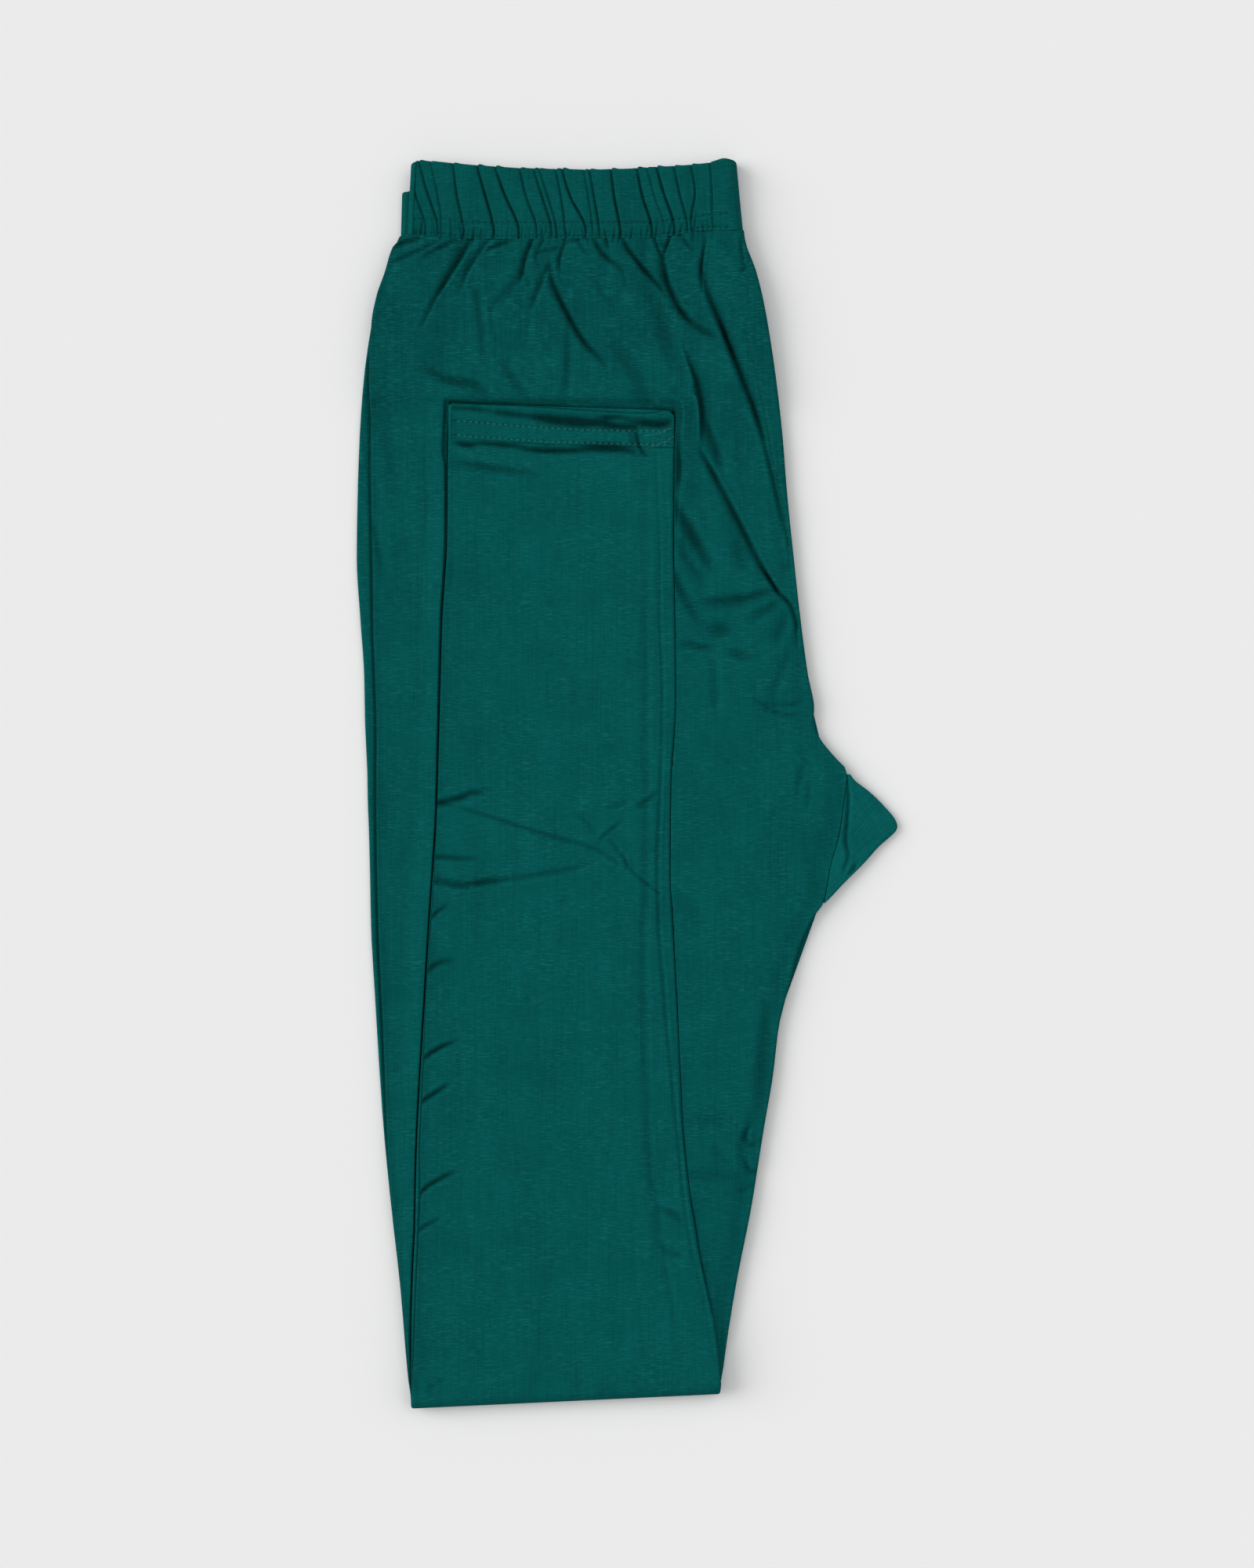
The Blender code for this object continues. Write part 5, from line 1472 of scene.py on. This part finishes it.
def band_top_at(x, y):
    """The height of the casing's upper side at one place."""
    x, y = np.array([x]), np.array([y])
    seam, top = across(BAND_SEAM, x), across(BAND_TOP, x) - BAND_WALL / 2
    share = float(np.clip((y - seam) / (top - seam), 0, 1)[0])
    relief, _ = band_relief(x, y, share)
    return BAND_TOP_Z + float((relief * band_rough(x))[0])


def thigh_top_at(x, y):
    """The height of the near thigh's upper side at one place."""
    relief, _ = near_thigh_relief(np.array([x]), np.array([y]))
    return float(column(HIP, "near_top", y)) + float(relief[0])


def add_node(tree, kind, settings=None, **inputs):
    """A shader node with its settings, and its inputs by name, or as n and their number.

    An input is a value, or a socket to link.
    """
    node = tree.nodes.new(kind)
    for name, value in (settings or {}).items():
        setattr(node, name, value)
    for name, value in inputs.items():
        numbered = name[0] == "n" and name[1:].isdigit()
        socket = node.inputs[int(name[1:]) if numbered else name]
        if isinstance(value, bpy.types.NodeSocket):
            tree.links.new(value, socket)
        else:
            socket.default_value = value
    return node


def maths(tree, operation, first, second, third=0.0, clamp=False):
    settings = {"operation": operation, "use_clamp": clamp}
    return add_node(tree, "ShaderNodeMath", settings, n0=first, n1=second, n2=third).outputs[0]


def vector_maths(tree, operation, **inputs):
    return add_node(tree, "ShaderNodeVectorMath", {"operation": operation}, **inputs).outputs[0]


def knit_noise(tree, knit, across_size, along_size, detail, seed):
    """Noise on the knit's map whose spots are as long across and along the leg as asked."""
    scale = (1 / across_size, 1 / along_size, 1.0)
    shift = (seed * PATTERN_SHIFT[0], seed * PATTERN_SHIFT[1], 0.0)
    sized = vector_maths(tree, "MULTIPLY", n0=knit, n1=scale)
    moved = vector_maths(tree, "ADD", n0=sized, n1=shift)
    noise = add_node(tree, "ShaderNodeTexNoise", {"noise_dimensions": "2D"},
                     Vector=moved, Scale=1.0, Detail=detail, Roughness=PATTERN_ROUGHNESS)
    return noise.outputs["Fac"]


def between(tree, value, low, high):
    """0 below low, 1 above high, and a smooth step between them."""
    step = add_node(tree, "ShaderNodeMapRange", {"interpolation_type": "SMOOTHSTEP"},
                    Value=value, **{"From Min": low, "From Max": high})
    return step.outputs["Result"]


def slub_jersey_group():
    """Slub jersey: fine knit, faint ribs, soft blotches, and paler slubs that run across, with
    painted shade near the casing and wherever the piece's painted shade attribute asks.
    """
    tree = bpy.data.node_groups.new("slub jersey", "ShaderNodeTree")
    for name, side, kind in JERSEY_SOCKETS:
        tree.interface.new_socket(name, in_out=side, socket_type=f"NodeSocket{kind}")
    given = tree.nodes.new("NodeGroupInput").outputs
    result = tree.nodes.new("NodeGroupOutput").inputs
    knit = given["Knit Map"]
    calc = partial(maths, tree)
    noise = partial(knit_noise, tree, knit)

    short, long, patches = (
        between(tree, noise(*pattern), *bounds)
        for pattern, bounds in ((SHORT_SLUBS, SHORT_BOUNDS), (LONG_SLUBS, LONG_BOUNDS),
                                (SLUB_PATCHES, PATCH_BOUNDS)))
    slubs = calc("MULTIPLY", calc("MAXIMUM", short, long), patches)
    slubs = calc("MULTIPLY", slubs, given["Slubs"], clamp=True)

    courses, wales, ribs = (noise(*pattern) for pattern in (COURSES, WALES, RIBS))
    grain = 0.0
    for pattern, share in ((courses, COURSE_TONE), (wales, WALE_TONE), (ribs, RIB_TONE)):
        swing = calc("MULTIPLY", calc("SUBTRACT", pattern, 0.5), share)
        grain = calc("ADD", grain, swing)
    # Painted shade near the casing: the cloth darkens towards the start of the leg.
    along = add_node(tree, "ShaderNodeSeparateXYZ", Vector=knit).outputs["Y"]
    away_from_casing = between(tree, along, 0.0, CASING_SHADE_REACH)
    gathered = calc("MULTIPLY_ADD", away_from_casing, given["Gathered"], 1.0)
    gathered = calc("SUBTRACT", gathered, given["Gathered"])
    tone = calc("MULTIPLY_ADD", grain, given["Grain"], gathered)
    for pattern in BLOTCHES:
        blotches = calc("SUBTRACT", noise(*pattern), 0.5)
        tone = calc("MULTIPLY_ADD", blotches, BLOTCH_TONE, tone)
    toned = vector_maths(tree, "SCALE", n0=given["Cloth Colour"], Scale=tone)
    mixed = add_node(tree, "ShaderNodeMix", {"data_type": "RGBA"}, Factor=slubs, n6=toned,
                     n7=given["Slub Colour"])
    # Painted shade: the cloth darkens by the painted shade attribute, in creases, along edges and
    # beside layers.
    deep = calc("MULTIPLY_ADD", given["Hollow"], -PAINTED_SHADE_TONE, 1.0)
    deeper = vector_maths(tree, "SCALE", n0=mixed.outputs[2], Scale=deep)
    tree.links.new(deeper, result["Base Color"])
    height = calc("MULTIPLY", slubs, SLUB_HEIGHT)
    for pattern, share in ((courses, COURSE_HEIGHT), (wales, WALE_HEIGHT)):
        height = calc("ADD", height, calc("MULTIPLY", pattern, share))
    tree.links.new(height, result["Bump Height"])
    return tree


def matt(name, colour, roughness, shine):
    """A plain matt material."""
    material = bpy.data.materials.new(name)
    material.use_nodes = True
    shader = material.node_tree.nodes["Principled BSDF"].inputs
    shader["Base Color"].default_value = colour
    shader["Roughness"].default_value = roughness
    shader["Specular IOR Level"].default_value = shine
    shader["Metallic"].default_value = 0.0
    return material


def jersey(name, group, colour, slubs, grain, gathered=0.0):
    """A matt slub jersey on the piece's own knit map, with painted shade: darker by the piece's
    painted shade attribute, and near the casing by the share given last.
    """
    material = matt(name, colour, CLOTH_ROUGHNESS, CLOTH_SHINE)
    tree = material.node_tree
    knit = add_node(tree, "ShaderNodeUVMap", {"uv_map": "knit"})
    # The piece's painted shade attribute.
    hollow = add_node(tree, "ShaderNodeAttribute", {"attribute_name": "hollow"})
    cloth = add_node(tree, "ShaderNodeGroup", {"node_tree": group}, **{
        "Knit Map": knit.outputs["UV"], "Cloth Colour": colour, "Slub Colour": SLUB_TEAL,
        "Slubs": slubs, "Grain": grain, "Gathered": gathered, "Hollow": hollow.outputs["Fac"]})
    bump = add_node(tree, "ShaderNodeBump", Strength=1.0, Distance=1.0,
                    Height=cloth.outputs["Bump Height"])
    shader = tree.nodes["Principled BSDF"].inputs
    tree.links.new(cloth.outputs["Base Color"], shader["Base Color"])
    tree.links.new(bump.outputs["Normal"], shader["Normal"])
    return material


def pale_floor():
    """A wide matt floor, as pale as the photo's."""
    shape = bmesh.new()
    bmesh.ops.create_grid(shape, x_segments=1, y_segments=1, size=FLOOR_SIZE / 2)
    bmesh.ops.translate(shape, verts=shape.verts, vec=(0.0, 0.0, -FLOOR_GAP))
    floor = smooth_object("floor", bpy.data.meshes.new("floor"), shape)
    shade = (FLOOR_SHADE, FLOOR_SHADE, FLOOR_SHADE, 1.0)
    floor.data.materials.append(matt("pale floor", shade, 1.0, 0.0))


def light_and_camera():
    """Soft studio light, mostly from the upper left, and the camera straight above."""
    for name, (strength, softness, direction) in LAMPS.items():
        sun = bpy.data.lights.new(name, "SUN")
        sun.energy = strength
        sun.angle = math.radians(softness)
        put(name, sun).rotation_euler = Vector(direction).to_track_quat("Z", "Y").to_euler()
    world = bpy.data.worlds.new("studio")
    world.use_nodes = True
    sky = world.node_tree.nodes["Background"].inputs
    sky["Color"].default_value = (1.0, 1.0, 1.0, 1.0)
    sky["Strength"].default_value = SKY_STRENGTH
    scene = bpy.context.scene
    scene.world = world
    scene.view_settings.view_transform = "Standard"
    camera = bpy.data.cameras.new("camera")
    camera.lens = CAMERA_LENS
    camera.sensor_width = CAMERA_SENSOR
    scene.camera = put("camera", camera)
    scene.camera.location = (0.0, 0.0, VIEW_SIZE * CAMERA_LENS / CAMERA_SENSOR + FOCUS_HEIGHT)


def main():
    group = slub_jersey_group()
    # The legs' cloth gets painted shade near the casing.
    leg = jersey("teal slub jersey", group, TEAL, 1.0, 1.0, CASING_PAINTED_SHADE)
    band = jersey("teal casing jersey", group, TEAL_BAND, 0.6, 1.2)
    bias = jersey("teal bias jersey", group, TEAL_GUSSET, 0.6, 1.4)
    pale_thread = matt("pale thread", PALE_THREAD, THREAD_ROUGHNESS, THREAD_SHINE)
    dark_thread = matt("teal thread", TEAL_THREAD, THREAD_ROUGHNESS, THREAD_SHINE)

    far_leg = make_far_leg(leg)
    near_leg = make_near_leg(leg)
    waistband = make_waistband(band)
    far_hem = make_hem("far", FAR_HEM_TOP, FAR_SHIN_FLOOR, FAR_HEM_WALL, leg)
    near_hem = make_hem("near", NEAR_HEM_TOP, NEAR_SHIN_FLOOR, NEAR_HEM_WALL, leg)
    gusset = make_gusset(bias)
    make_stitches("hem_stitches", HEM_STITCHES, hem_top_at, pale_thread, "leg_jersey")
    make_stitches("band_stitches", BAND_STITCHES, band_top_at, dark_thread, "waistband_jersey")
    make_stitches("crotch_seam_stitches", CROTCH_STITCHES, thigh_top_at, dark_thread, "leg_jersey")

    pale_floor()
    light_and_camera()


main()
